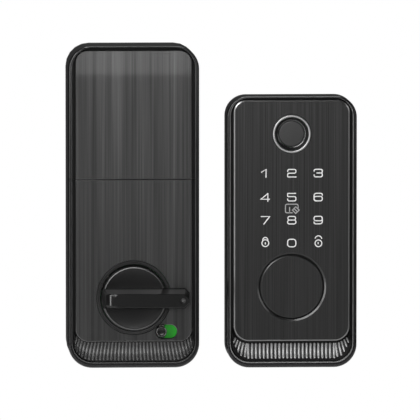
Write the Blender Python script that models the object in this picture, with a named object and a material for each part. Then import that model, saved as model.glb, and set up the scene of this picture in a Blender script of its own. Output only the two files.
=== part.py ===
"""Keypad smart lock: an outside keypad unit and an inside thumbturn unit, side by side.

World frame: metres, +Z up. The door plane is y = 0, both fronts face -Y, and the origin is the
centre of the outside unit's back face. The helpers take millimetres: x across, z up, and d, the
depth in front of the door plane (y = -d)."""

import math

import bmesh
import bpy

MM = 0.001
GAP = 0.3  # clearance between neighbouring pieces
ARC_STEPS = 5  # segments in a quarter turn of a casing corner
ROUND = 40  # segments in a visible round piece
SMALL_ROUND = 20  # segments in a small or hidden round piece
SHARP_ANGLE = math.radians(32)

# Outside unit
UNIT_WIDTH = 68.0
OUT_HEIGHT = 141.5
OUT_CORNER_TOP = 11.0
OUT_CORNER_BOTTOM = 12.0
OUT_BASE = -OUT_HEIGHT / 2  # z of the outside unit's lower end
OUT_BACK = 1.5  # depth of the housing's back edge, behind which the gasket lies
OUT_SIDE_END = 18.2  # depth where the side wall turns into the rim
OUT_CREST = 20.0
OUT_LEDGE = 14.9  # depth of the ledge that the front plate and the trim stand on
OUT_PLATE_FRONT = 20.5
OUT_PLATE_BOTTOM = OUT_BASE + 14.0
OUT_PLATE_TOP = OUT_BASE + 139.4
OUT_PLATE_CORNER_TOP = 6.3
OUT_PLATE_CORNER_BOTTOM = 7.8
PLATE_WIDTH = 60.2
PLATE_FACE = 2.4  # thickness of a front plate's face
PLATE_SKIRT = 0.8  # thickness of its turned-in edge
PLATE_CHAMFER = 0.4
RIM_SIDE = 2.3  # width of the rim at the sides
RIM_TOP = 0.8
RIM_BOTTOM = 3.2
LEDGE_THICKNESS = 1.8
LEDGE_SIDE, LEDGE_TOP, LEDGE_BOTTOM = 5.5, 4.8, 9.5  # the ledge's opening, in from the outer faces
LEDGE_CORNER = 6.0
WALL = 2.0

# Fingerprint reader
SENSOR_Z = OUT_BASE + 121.9
RING_OUTER = 9.9
RING_INNER = 8.75
RING_BACK = 18.4
RING_FRONT = 21.1
BOWL_INNER = 6.95
BOWL_BACK = 14.0
SENSOR_RADIUS = 6.65
SENSOR_FRONT = 19.0

# Key cylinder and its cover
KEY_Z = OUT_BASE + 42.3
COVER_RADIUS = 16.5
COVER_HOLE = 17.1
COVER_CHAMFER = 0.5
COVER_HINGE_DROP = 8.0  # hinge pin below the disc's centre
COVER_HINGE_DEPTH = OUT_PLATE_FRONT - PLATE_FACE / 2
PIN_RADIUS = 0.5
POCKET_INNER = 18.0
POCKET_OUTER = 19.3
POCKET_FLOOR = 9.5
CYLINDER_RADIUS = 8.5
PLUG_RADIUS = 6.3
CLIP_GROOVE = 0.9  # depth of the groove for the clip
CYLINDER_FACE = 10.0
CYLINDER_END = -16.0  # the cylinder reaches behind the door plane, into the door's bore
TAILPIECE_END = -48.0
TAILPIECE_WIDTH = 6.0
KEYWAY_WIDTH = 2.2
KEYWAY_HEIGHT = 8.0
KEYWAY_DEPTH = 7.0
BORE_RADIUS = 20.0  # opening for the cylinder and the cable in the back plate and gasket
POST_X = 14.5
POST_RADIUS = 3.5
PASSAGE_HALF = 7.0  # cable passage above the cylinder
PASSAGE_LOW, PASSAGE_HIGH = 11.5, 18.0
BACK_SCREW_X = 24.0
BACK_SCREW_Z = OUT_BASE + 100.0

# Inside unit
IN_X = -82.8
IN_HEIGHT = 167.0
IN_BASE = OUT_BASE + 1.6  # z of the inside unit's lower end
IN_CORNER_TOP = 12.0
IN_CORNER_BOTTOM = 12.5
IN_BASE_FRONT = 6.0  # depth where the base meets the covers
IN_SIDE_END = 31.8
IN_CREST = 34.0
IN_LEDGE = 28.9
IN_PLATE_FRONT = 34.3
IN_PLATE_BOTTOM = IN_BASE + 13.9
IN_PLATE_TOP = IN_BASE + 164.7
IN_PLATE_CORNER = 6.5
PARTING_Z = IN_BASE + 97.9  # line between the front cover and the battery cover

# Thumbturn and drive
KNOB_Z = IN_BASE + 36.6
KNOB_RADIUS = 16.95
KNOB_BACK = 32.2
KNOB_FRONT = 38.8
RECESS_OUTER = 19.1
RECESS_BACK = 31.2
RECESS_INNER = 17.3
LEVER_TAIL = -16.4
LEVER_TIP_CUT = 2.3
LEVER_TIP = 28.6
LEVER_HALF_BASE = 5.1
LEVER_HALF_TOP = 3.4
LEVER_BASE = 35.4
LEVER_FRONT = 54.0
TAIL_SLOPE = 6.0  # how far the bar's tail leans in on its way to the front
SPINDLE_RADIUS = 4.0
GEAR_MODULE = 1.0
OUTPUT_TEETH = 32
SMALL_TEETH = 8
BIG_TEETH = 28
MOTOR_TEETH = 9
REDUCTION_DX = 12.0  # reduction gear's axle from the knob's axis
REDUCTION_DZ = 16.0
MOTOR_DX = 0.9  # motor's axis from the knob's axis
MOTOR_DZ = 30.8
OUTPUT_LAYER = (10.0, 13.0)
REDUCTION_LAYER = (5.6, 8.6)
MOTOR_RADIUS = 7.7

# Privacy switch, on the main circuit board
BOARD_FRONT = 26.0
BOARD_THICKNESS = 1.6
SWITCH_X = IN_X + 16.9
SWITCH_Z = IN_BASE + 18.9
SLOT_HALF_LENGTH = 5.5
SLOT_RADIUS = 3.6
BUTTON_RADIUS = 2.75
BUTTON_OFFSET = -2.6  # the button's place at rest, from the slot's middle
BUTTON_FRONT = 35.3
FLAG_HALF = 3.65
FLAG_REACH = 8.3
FLAG_LAYER = (29.6, 30.6)

# Batteries
BATTERY_RADIUS = 7.1
BATTERY_LENGTH = 50.5
BATTERY_PITCH = 14.8
BATTERY_DEPTH = 19.6
BATTERY_BOTTOM = PARTING_Z + 9.0
TRAY_HALF_WIDTH = 31.6
TRAY_BOTTOM = PARTING_Z + 2.0
TRAY_TOP = IN_BASE + 164.5

FINISHES = {
    "black_casing": ((0.012, 0.012, 0.013), 0.38, 0.0),
    "brushed_panel": ((0.060, 0.060, 0.063), 0.36, 0.85),
    "flute_grey": ((0.085, 0.085, 0.090), 0.34, 0.6),
    "bright_ring": ((0.42, 0.42, 0.43), 0.28, 1.0),
    "sensor_glass": ((0.030, 0.030, 0.032), 0.22, 0.0),
    "knob_black": ((0.010, 0.010, 0.011), 0.28, 0.2),
    "steel": ((0.55, 0.56, 0.57), 0.35, 1.0),
    "brass": ((0.66, 0.49, 0.20), 0.32, 1.0),
    "rubber_black": ((0.018, 0.018, 0.018), 0.85, 0.0),
    "circuit_green": ((0.020, 0.130, 0.050), 0.45, 0.0),
    "clear_plastic": ((0.70, 0.73, 0.74), 0.30, 0.0),
    "white_plastic": ((0.72, 0.71, 0.68), 0.45, 0.0),
    "gear_plastic": ((0.78, 0.76, 0.70), 0.42, 0.0),
    "flag_green": ((0.023, 0.262, 0.023), 0.40, 0.0),
    "flag_red": ((0.420, 0.020, 0.018), 0.40, 0.0),
    "battery_sleeve": ((0.030, 0.055, 0.110), 0.35, 0.0),
}


def rounded_rect(x0, x1, z0, z1, r_bottom, r_top, steps=ARC_STEPS):
    """Outline, counter-clockwise from the lower right corner."""
    corners = (
        (x1 - r_bottom, z0 + r_bottom, r_bottom, -90),
        (x1 - r_top, z1 - r_top, r_top, 0),
        (x0 + r_top, z1 - r_top, r_top, 90),
        (x0 + r_bottom, z0 + r_bottom, r_bottom, 180),
    )
    points = []
    for cx, cz, radius, start in corners:
        points += arc(cx, cz, radius, start, start + 90, steps)
    return points


def arc(cx, cz, radius, start, end, steps):
    """Points on an arc, with both its ends; angles in degrees."""
    points = []
    for i in range(steps + 1):
        a = math.radians(start + (end - start) * i / steps)
        points.append((cx + radius * math.cos(a), cz + radius * math.sin(a)))
    return points


def circle(cx, cz, radius, segments):
    return arc(cx, cz, radius, 0, 360 * (segments - 1) / segments, segments - 1)


def stadium(cx, cz, half_length, radius, steps):
    """A slot with round ends, long in x."""
    reach = half_length - radius
    return arc(cx + reach, cz, radius, -90, 90, steps) + arc(cx - reach, cz, radius, 90, 270, steps)


def material(finish):
    found = bpy.data.materials.get(finish)
    if found:
        return found
    colour, roughness, metallic = FINISHES[finish]
    made = bpy.data.materials.new(finish)
    made.use_nodes = True
    shader = made.node_tree.nodes["Principled BSDF"]
    shader.inputs["Base Color"].default_value = (*colour, 1.0)
    shader.inputs["Roughness"].default_value = roughness
    shader.inputs["Metallic"].default_value = metallic
    return made


def to_object(name, bm, finish):
    """Turns a bmesh into a linked, smooth-shaded object."""
    bmesh.ops.recalc_face_normals(bm, faces=bm.faces)
    mesh = bpy.data.meshes.new(name)
    bm.to_mesh(mesh)
    bm.free()
    mesh.shade_smooth()
    mesh.set_sharp_from_angle(angle=SHARP_ANGLE)
    mesh.materials.append(material(finish))
    made = bpy.data.objects.new(name, mesh)
    bpy.context.scene.collection.objects.link(made)
    return made


def loft(name, rings, finish, closed=False):
    """Skin over rings of (outline, depth); a closed loft comes back to its first ring."""
    bm = bmesh.new()
    loops = [[bm.verts.new((x * MM, -d * MM, z * MM)) for x, z in points] for points, d in rings]
    pairs = list(zip(loops, loops[1:]))
    if closed:
        pairs.append((loops[-1], loops[0]))
    else:
        bm.faces.new(loops[0])
        bm.faces.new(loops[-1])
    for here, there in pairs:
        for i in range(len(here)):
            j = (i + 1) % len(here)
            bm.faces.new((here[i], here[j], there[j], there[i]))
    return to_object(name, bm, finish)


def turned(name, x, z, profile, finish, segments=ROUND, closed=False):
    """A round piece about an axis along Y, from (radius, depth) pairs."""
    rings = [(circle(x, z, radius, segments), depth) for radius, depth in profile]
    return loft(name, rings, finish, closed)


def prism(name, outline, back, front, finish, holes=()):
    """A plate between two depths, with holes given by their outlines."""
    bm = bmesh.new()
    edges = []
    for points in (outline, *holes):
        verts = [bm.verts.new((x * MM, -back * MM, z * MM)) for x, z in points]
        edges += [bm.edges.new((a, b)) for a, b in zip(verts, verts[1:] + verts[:1])]
    filled = bmesh.ops.triangle_fill(bm, use_beauty=True, use_dissolve=False, edges=edges)
    faces = [item for item in filled["geom"] if isinstance(item, bmesh.types.BMFace)]
    grown = bmesh.ops.extrude_face_region(bm, geom=faces)
    moved = [item for item in grown["geom"] if isinstance(item, bmesh.types.BMVert)]
    bmesh.ops.translate(bm, verts=moved, vec=(0, (back - front) * MM, 0))
    return to_object(name, bm, finish)


def box(name, x0, x1, z0, z1, back, front, finish, holes=()):
    outline = [(x0, z0), (x1, z0), (x1, z1), (x0, z1)]
    return prism(name, outline, back, front, finish, holes)


def rod_along_x(name, x0, x1, z, depth, radius, finish, segments=12):
    bm = bmesh.new()
    ends = []
    for x in (x0, x1):
        ring = circle(z, depth, radius, segments)
        ends.append([bm.verts.new((x * MM, -d * MM, h * MM)) for h, d in ring])
    bm.faces.new(ends[0])
    bm.faces.new(ends[1])
    for i in range(segments):
        j = (i + 1) % segments
        bm.faces.new((ends[0][i], ends[0][j], ends[1][j], ends[1][i]))
    return to_object(name, bm, finish)


def apply_tool(target, tool, operation):
    """Adds a Boolean that joins the tool to the target, or cuts it away or keeps what is inside."""
    step = target.modifiers.new(tool.name, "BOOLEAN")
    step.object = tool
    step.operation = operation
    step.solver = "EXACT"
    tool.hide_render = True
    tool.display_type = "WIRE"


def on_axis(name, x, z, depth, pieces):
    """Hangs the moving pieces on an empty that stands on their joint's axis."""
    pivot = bpy.data.objects.new(name, None)
    pivot.location = (x * MM, -depth * MM, z * MM)
    bpy.context.scene.collection.objects.link(pivot)
    for piece in pieces:
        piece.parent = pivot
        piece.location = -pivot.location


def inset(x, z0, z1, side, top, bottom, r_bottom, r_top):
    """Rounded outline of a unit's cross-section, set in from its outer faces."""
    half = UNIT_WIDTH / 2 - side
    return rounded_rect(x - half, x + half, z0 + bottom, z1 - top, r_bottom, r_top)


def casing(name, x, z0, z1, corners, depths, finish):
    """Tube-shaped casing with a rounded front rim and a ledge inside it for the front plate."""
    r_bottom, r_top = corners
    back, side_end, crest, ledge = depths
    outer = inset(x, z0, z1, 0, 0, 0, r_bottom, r_top)
    crest_line = inset(x, z0, z1, 1.0, 0.6, 1.0, r_bottom - 1.0, r_top - 0.8)
    lip = inset(x, z0, z1, RIM_SIDE, RIM_TOP, RIM_BOTTOM, r_bottom - 2.0, r_top - 1.8)
    opening = inset(x, z0, z1, LEDGE_SIDE, LEDGE_TOP, LEDGE_BOTTOM, LEDGE_CORNER, LEDGE_CORNER)
    cavity = inset(x, z0, z1, WALL, WALL, WALL, r_bottom - WALL, r_top - WALL)
    behind = ledge - LEDGE_THICKNESS
    rings = [
        (outer, back),
        (outer, side_end),
        (crest_line, crest),
        (lip, crest - 0.2),
        (lip, ledge),
        (opening, ledge),
        (opening, behind),
        (cavity, behind),
        (cavity, back),
    ]
    return loft(name, rings, finish, closed=True)


def plate_outline(x, z0, z1, r_bottom, r_top, draw_in=0.0):
    """Outline of a front plate, drawn in by the same amount all round."""
    half = PLATE_WIDTH / 2 - draw_in
    corners = [max(radius - draw_in, 0.3) for radius in (r_bottom, r_top)]
    return rounded_rect(x - half, x + half, z0 + draw_in, z1 - draw_in, *corners)


def panel(name, shape, front, back, finish):
    """Front plate: a flat face with its edge turned in towards the ledge."""
    inner = plate_outline(*shape, PLATE_SKIRT)
    rings = [
        (inner, front - PLATE_FACE),
        (inner, back),
        (plate_outline(*shape), back),
        (plate_outline(*shape), front - PLATE_CHAMFER),
        (plate_outline(*shape, PLATE_CHAMFER), front),
    ]
    return loft(name, rings, finish)


def shrink(outline, amount):
    """The outline drawn in towards its own middle by about the same amount on every side."""
    xs = [x for x, z in outline]
    zs = [z for x, z in outline]
    cx, cz = (min(xs) + max(xs)) / 2, (min(zs) + max(zs)) / 2
    half_x, half_z = (max(xs) - min(xs)) / 2, (max(zs) - min(zs)) / 2
    fx, fz = 1 - amount / half_x, 1 - amount / half_z
    return [(cx + (x - cx) * fx, cz + (z - cz) * fz) for x, z in outline]


def along(path, t):
    """Point at the fraction t of a path's length."""
    lengths = [math.dist(a, b) for a, b in zip(path, path[1:])]
    left = t * sum(lengths)
    for a, b, length in zip(path, path[1:], lengths):
        if left <= length or b is path[-1]:
            f = min(1.0, left / length)
            return (a[0] + (b[0] - a[0]) * f, a[1] + (b[1] - a[1]) * f)
        left -= length


SCOOP = ((0.0, 0.0), (0.35, -1.2), (0.7, 0.1), (1.0, 3.0))  # across the scoop: place, depth
RIB_RISE = 0.7


def fluted_trim(name, spans, back, floor):
    """Scoop between the front plate and the rim, with ribs across it. Each span gives an inner
    and an outer path and the number of ribs that fan out between them."""
    columns = []
    for inner, outer, ribs in spans:
        count = round(ribs * 2)
        first = 0 if not columns else 1
        for c in range(first, count + 1):
            columns.append((along(inner, c / count), along(outer, c / count)))
    bm = bmesh.new()
    rows = []
    for f, rise in SCOOP:
        row = []
        for c, (near, far) in enumerate(columns):
            x = near[0] + (far[0] - near[0]) * f
            z = near[1] + (far[1] - near[1]) * f
            depth = floor + rise + (RIB_RISE if c % 2 else 0.0)
            row.append(bm.verts.new((x * MM, -depth * MM, z * MM)))
        rows.append(row)
    low_near = [bm.verts.new((v.co.x, -back * MM, v.co.z)) for v in rows[0]]
    low_far = [bm.verts.new((v.co.x, -back * MM, v.co.z)) for v in rows[-1]]
    strips = [low_near] + rows + [low_far]
    for upper, lower in zip(strips, strips[1:]):
        for i in range(len(upper) - 1):
            bm.faces.new((upper[i], upper[i + 1], lower[i + 1], lower[i]))
    for i in range(len(low_near) - 1):
        bm.faces.new((low_far[i], low_far[i + 1], low_near[i + 1], low_near[i]))
    for end in (0, -1):
        bm.faces.new([strip[end] for strip in strips])
    return to_object(name, bm, "flute_grey")


def trim_paths(x, plate_bottom, plate_corner, outer_bottom, outer_corner):
    """Inner and outer edges of the scoop: left corner, straight middle and right corner."""
    half = PLATE_WIDTH / 2 + 0.35
    reach = UNIT_WIDTH / 2 - RIM_SIDE - GAP
    near_r, far_r = plate_corner + 0.35, outer_corner
    near_z, far_z = plate_bottom + plate_corner, outer_bottom + far_r
    left_near = arc(x - half + near_r, near_z, near_r, 180, 270, 8)
    left_far = [(x - reach, near_z)] + arc(x - reach + far_r, far_z, far_r, 180, 270, 8)
    right_near = [(2 * x - px, pz) for px, pz in reversed(left_near)]
    right_far = [(2 * x - px, pz) for px, pz in reversed(left_far)]
    middle_near = [left_near[-1], right_near[0]]
    middle_far = [left_far[-1], right_far[0]]
    return (left_near, left_far), (middle_near, middle_far), (right_near, right_far)


def gear_outline(cx, cz, teeth, phase):
    """Straight-sided teeth with backlash; a tooth is centred at the phase, in degrees."""
    pitch = GEAR_MODULE * teeth / 2
    root, tip = pitch - 1.15 * GEAR_MODULE, pitch + 0.85 * GEAR_MODULE
    half_root, half_tip = 0.85 * GEAR_MODULE, 0.32 * GEAR_MODULE
    points = []
    for tooth in range(teeth):
        middle = math.radians(phase + 360 * tooth / teeth)
        for radius, half in ((root, -half_root), (tip, -half_tip), (tip, half_tip), (root, half_root)):
            a = middle + half / radius
            points.append((cx + radius * math.cos(a), cz + radius * math.sin(a)))
    return points


def outside_shell():
    z1 = OUT_BASE + OUT_HEIGHT
    casing(
        "outside_housing", 0, OUT_BASE, z1, (OUT_CORNER_BOTTOM, OUT_CORNER_TOP),
        (OUT_BACK, OUT_SIDE_END, OUT_CREST, OUT_LEDGE), "black_casing",
    )
    shape = (0, OUT_PLATE_BOTTOM, OUT_PLATE_TOP, OUT_PLATE_CORNER_BOTTOM, OUT_PLATE_CORNER_TOP)
    plate = panel("outside_front_plate", shape, OUT_PLATE_FRONT, OUT_LEDGE + GAP, "brushed_panel")
    hole_front = OUT_PLATE_FRONT + 1
    chamfer_start = OUT_PLATE_FRONT - COVER_CHAMFER
    hole = turned(
        "cover_hole_tool", 0, KEY_Z,
        [(COVER_HOLE, 17.0), (COVER_HOLE, chamfer_start), (COVER_HOLE + 1.5, hole_front)],
        "black_casing",
    )
    sensor_hole = turned(
        "sensor_hole_tool", 0, SENSOR_Z, [(RING_OUTER + GAP, 17.0), (RING_OUTER + GAP, 22.0)], "black_casing"
    )
    pin_bore = rod_along_x(
        "cover_pin_bore_tool", -18.4, 18.4, KEY_Z - COVER_HINGE_DROP, COVER_HINGE_DEPTH,
        PIN_RADIUS + GAP, "black_casing", 8,
    )
    for tool in (hole, sensor_hole, pin_bore):
        apply_tool(plate, tool, "DIFFERENCE")
    left, middle, right = trim_paths(
        0, OUT_PLATE_BOTTOM - GAP, OUT_PLATE_CORNER_BOTTOM, OUT_BASE + RIM_BOTTOM + GAP, 10.0
    )
    spans = ((*left, 5.5), (*middle, 22), (*right, 5.5))
    fluted_trim("outside_fluted_trim", spans, OUT_LEDGE + GAP, OUT_LEDGE + GAP + 1.4)
    return pin_bore


def fingerprint_reader():
    turned(
        "fingerprint_ring", 0, SENSOR_Z,
        [
            (RING_OUTER, RING_BACK), (RING_OUTER, RING_FRONT - 0.3), (RING_OUTER - 0.4, RING_FRONT),
            (RING_INNER + 0.4, RING_FRONT), (RING_INNER, RING_FRONT - 0.3), (RING_INNER, RING_BACK),
        ],
        "bright_ring", closed=True,
    )
    turned(
        "fingerprint_bowl", 0, SENSOR_Z,
        [
            (RING_INNER - GAP, BOWL_BACK), (RING_INNER - GAP, RING_FRONT - 0.8),
            (BOWL_INNER, SENSOR_FRONT - 0.5), (BOWL_INNER, BOWL_BACK),
        ],
        "black_casing", closed=True,
    )
    turned(
        "fingerprint_sensor", 0, SENSOR_Z,
        [
            (SENSOR_RADIUS, BOWL_BACK - 0.6), (SENSOR_RADIUS, SENSOR_FRONT - 0.3),
            (SENSOR_RADIUS - 0.3, SENSOR_FRONT),
        ],
        "sensor_glass",
    )


def key_cover(pin_bore):
    front, back = OUT_PLATE_FRONT, OUT_PLATE_FRONT - PLATE_FACE
    slim = COVER_RADIUS - COVER_CHAMFER
    disc = turned(
        "key_cover", 0, KEY_Z,
        [
            (slim, back), (COVER_RADIUS, back + COVER_CHAMFER),
            (COVER_RADIUS, front - COVER_CHAMFER), (slim, front),
        ],
        "brushed_panel",
    )
    apply_tool(disc, pin_bore, "DIFFERENCE")
    magnet = turned(
        "key_cover_magnet", 0, KEY_Z + 11.5, [(2.5, back - 1.5), (2.5, back - GAP)], "steel", SMALL_ROUND
    )
    on_axis("key_cover_pivot", 0, KEY_Z - COVER_HINGE_DROP, COVER_HINGE_DEPTH, (disc, magnet))
    rod_along_x(
        "key_cover_hinge_pin", -18.0, 18.0, KEY_Z - COVER_HINGE_DROP, COVER_HINGE_DEPTH,
        PIN_RADIUS, "steel", 8,
    )
    turned(
        "key_pocket", 0, KEY_Z,
        [
            (CYLINDER_RADIUS + GAP, POCKET_FLOOR - 1.5), (POCKET_OUTER, POCKET_FLOOR - 1.5),
            (POCKET_OUTER, back - GAP), (POCKET_INNER, back - GAP),
            (POCKET_INNER, POCKET_FLOOR), (CYLINDER_RADIUS + GAP, POCKET_FLOOR),
        ],
        "black_casing", closed=True,
    )


def lock_cylinder():
    bore = PLUG_RADIUS + GAP
    turned(
        "cylinder_body", 0, KEY_Z,
        [
            (CYLINDER_RADIUS, CYLINDER_END), (CYLINDER_RADIUS, CYLINDER_FACE - 0.4),
            (CYLINDER_RADIUS - 0.4, CYLINDER_FACE), (bore, CYLINDER_FACE), (bore, CYLINDER_END),
        ],
        "brass", closed=True,
    )
    plug = turned(
        "cylinder_plug", 0, KEY_Z,
        [
            (PLUG_RADIUS, CYLINDER_END - 2.5), (PLUG_RADIUS, CYLINDER_FACE),
            (PLUG_RADIUS - 0.3, CYLINDER_FACE + 0.3),
        ],
        "brass",
    )
    keyway = box(
        "keyway_tool", -KEYWAY_WIDTH / 2, KEYWAY_WIDTH / 2, KEY_Z - KEYWAY_HEIGHT / 2,
        KEY_Z + KEYWAY_HEIGHT / 2, CYLINDER_FACE - KEYWAY_DEPTH, CYLINDER_FACE + 2, "black_casing",
    )
    apply_tool(plug, keyway, "DIFFERENCE")
    groove_back, groove_front = CYLINDER_END - 1.9, CYLINDER_END - 0.7
    groove = turned(
        "clip_groove_tool", 0, KEY_Z,
        [
            (PLUG_RADIUS - CLIP_GROOVE, groove_back), (PLUG_RADIUS + 2, groove_back),
            (PLUG_RADIUS + 2, groove_front), (PLUG_RADIUS - CLIP_GROOVE, groove_front),
        ],
        "black_casing", closed=True,
    )
    apply_tool(plug, groove, "DIFFERENCE")
    clip = turned(
        "cylinder_clip", 0, KEY_Z,
        [(PLUG_RADIUS - 0.6, groove_back + 0.3), (PLUG_RADIUS + 1.4, groove_back + 0.3),
         (PLUG_RADIUS + 1.4, groove_front - 0.3), (PLUG_RADIUS - 0.6, groove_front - 0.3)],
        "steel", SMALL_ROUND, closed=True,
    )
    tailpiece = box(
        "tailpiece", -TAILPIECE_WIDTH / 2, TAILPIECE_WIDTH / 2, KEY_Z - 0.8, KEY_Z + 0.8,
        TAILPIECE_END, CYLINDER_END - 2.5 - GAP, "steel",
    )
    on_axis("cylinder_pivot", 0, KEY_Z, 0, (plug, tailpiece, clip))


def outside_back():
    """Back plate, gasket, posts and screws, with one opening for the cylinder and the cable."""
    half = UNIT_WIDTH / 2 - WALL - GAP
    z0, z1 = OUT_BASE + WALL + GAP, OUT_BASE + OUT_HEIGHT - WALL - GAP
    bore = circle(0, KEY_Z, BORE_RADIUS, ROUND)
    plate_bore = circle(0, KEY_Z, CYLINDER_RADIUS + 1.2, SMALL_ROUND)
    screws = [(-BACK_SCREW_X, BACK_SCREW_Z), (BACK_SCREW_X, BACK_SCREW_Z)]
    passage = rounded_rect(
        -PASSAGE_HALF, PASSAGE_HALF, KEY_Z + PASSAGE_LOW, KEY_Z + PASSAGE_HIGH, 2, 2, 3
    )
    holes = [circle(x, z, 1.6, 12) for x, z in screws]
    outline = rounded_rect(-half, half, z0, z1, 9.5, 8.5)
    prism("outside_backplate", outline, OUT_BACK + 0.1, 3.2, "steel", [plate_bore, passage] + holes)
    edge = UNIT_WIDTH / 2 - 0.5
    outline = rounded_rect(-edge, edge, OUT_BASE + 0.5, OUT_BASE + OUT_HEIGHT - 0.5, 11.5, 10.5)
    prism("outside_gasket", outline, 0, OUT_BACK - GAP, "rubber_black", [bore])
    for side, (x, z) in zip(("left", "right"), screws):
        turned(
            "backplate_screw_" + side, x, z,
            [(1.3, 1.9), (1.3, 3.5), (2.6, 3.5), (2.2, 4.6)], "steel", 12,
        )
    for side, x in (("left", -POST_X), ("right", POST_X)):
        turned(
            "mounting_post_" + side, x, KEY_Z,
            [(POST_RADIUS, -9.0), (POST_RADIUS, OUT_BACK - 0.2), (1.7, OUT_BACK - 0.2), (1.7, -9.0)],
            "steel", SMALL_ROUND, closed=True,
        )


def outside_electronics():
    z0, z1 = OUT_BASE + 63.5, OUT_BASE + 133.0
    box("keypad_light_guide", -22, 22, z0, SENSOR_Z - 11.0, 12.9, 17.6, "clear_plastic")
    prism("keypad_circuit_board", rounded_rect(-26, 26, z0, z1, 2, 2, 3), 10.9, 12.5, "circuit_green")
    turned("buzzer", 12, OUT_BASE + 78.0, [(6.0, 5.6), (6.0, 9.9), (5.2, 10.5)], "black_casing", SMALL_ROUND)
    cable_socket("outside_cable_socket", -8, OUT_BASE + 72.0, 10.6, 5.4)


def cable_socket(name, x, z, board, mouth):
    """White socket with a wall round its pins, open away from the board."""
    if mouth < board:
        floor = mouth + 3.5
    else:
        floor = mouth - 3.5
    outer = rounded_rect(x - 6, x + 6, z - 3, z + 3, 0.3, 0.3, 1)
    inner = rounded_rect(x - 5, x + 5, z - 2, z + 2, 0.3, 0.3, 1)
    loft(name, [(outer, board), (outer, mouth), (inner, mouth), (inner, floor)], "white_plastic")


def inside_base():
    z1 = IN_BASE + IN_HEIGHT
    corners = (IN_CORNER_BOTTOM, IN_CORNER_TOP)
    outer = inset(IN_X, IN_BASE, z1, 0, 0, 0, *corners)
    inner = inset(IN_X, IN_BASE, z1, WALL, WALL, WALL, corners[0] - WALL, corners[1] - WALL)
    opening = rounded_rect(IN_X - 13, IN_X + 13, KNOB_Z - 13, KNOB_Z + 13, 5, 5)
    rings = [
        (outer, 0.3), (outer, IN_BASE_FRONT), (inner, IN_BASE_FRONT), (inner, 3.8),
        (opening, 3.8), (opening, 2.2), (inner, 2.2), (inner, 0.3),
    ]
    base = loft("inside_base", rings, "black_casing", closed=True)
    cable_slot = box(
        "cable_slot_tool", IN_X - 27, IN_X - 18.5, KNOB_Z - 6, KNOB_Z + 6, 1, 5, "black_casing"
    )
    apply_tool(base, cable_slot, "DIFFERENCE")
    z0, z1 = IN_BASE + 8.0, IN_BASE + 160.0
    outline = rounded_rect(IN_X - 30, IN_X + 30, z0, z1, 6, 6, 3)
    spindle_hole = circle(IN_X, KNOB_Z, 8.0, SMALL_ROUND)
    cable_hole = rounded_rect(IN_X - 27, IN_X - 18.5, KNOB_Z - 6, KNOB_Z + 6, 1, 1, 2)
    bolts = [circle(IN_X + dx, KNOB_Z, 2.6, 12) for dx in (-POST_X, POST_X)]
    prism("inside_mounting_plate", outline, 0, 1.9, "steel", [spindle_hole, cable_hole] + bolts)


def inside_covers():
    """Lower front cover and upper battery cover: one casing shape parted by a straight line."""
    z1 = IN_BASE + IN_HEIGHT
    shells = []
    for name in ("inside_front_cover", "battery_cover"):
        shells.append(casing(
            name, IN_X, IN_BASE, z1, (IN_CORNER_BOTTOM, IN_CORNER_TOP),
            (IN_BASE_FRONT + GAP, IN_SIDE_END, IN_CREST, IN_LEDGE), "black_casing",
        ))
    reach = UNIT_WIDTH
    half_gap = GAP / 2
    for shell, low, high in (
        (shells[0], IN_BASE - 5, PARTING_Z - half_gap),
        (shells[1], PARTING_Z + half_gap, z1 + 5),
    ):
        keep = box(shell.name + "_part_tool", IN_X - reach, IN_X + reach, low, high, 0, 50, "black_casing")
        apply_tool(shell, keep, "INTERSECT")

    back = IN_LEDGE + GAP
    shapes = (
        (IN_X, IN_PLATE_BOTTOM, PARTING_Z - half_gap, IN_PLATE_CORNER, 0.3),
        (IN_X, PARTING_Z + half_gap, IN_PLATE_TOP, 0.3, IN_PLATE_CORNER),
    )
    plates = []
    for name, shape in zip(("inside_front_plate", "battery_cover_plate"), shapes):
        plates.append(panel(name, shape, IN_PLATE_FRONT, back, "brushed_panel"))
    recess_hole = turned(
        "recess_hole_tool", IN_X, KNOB_Z, [(RECESS_OUTER + GAP, 25), (RECESS_OUTER + GAP, 36)], "black_casing"
    )
    slot = prism(
        "slot_tool", stadium(SWITCH_X, SWITCH_Z, SLOT_HALF_LENGTH, SLOT_RADIUS, 8), 25, 36, "black_casing"
    )
    for tool in (recess_hole, slot):
        apply_tool(plates[0], tool, "DIFFERENCE")
    left, middle, right = trim_paths(
        IN_X, IN_PLATE_BOTTOM - GAP, IN_PLATE_CORNER, IN_BASE + RIM_BOTTOM + GAP, 10.5
    )
    near = left[0] + right[0]
    far = left[1] + right[1]
    fluted_trim("inside_fluted_trim", ((near, far, 35),), back, back + 1.2)
    on_axis("battery_cover_slide", IN_X, PARTING_Z, 0, (shells[1], plates[1]))


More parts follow.
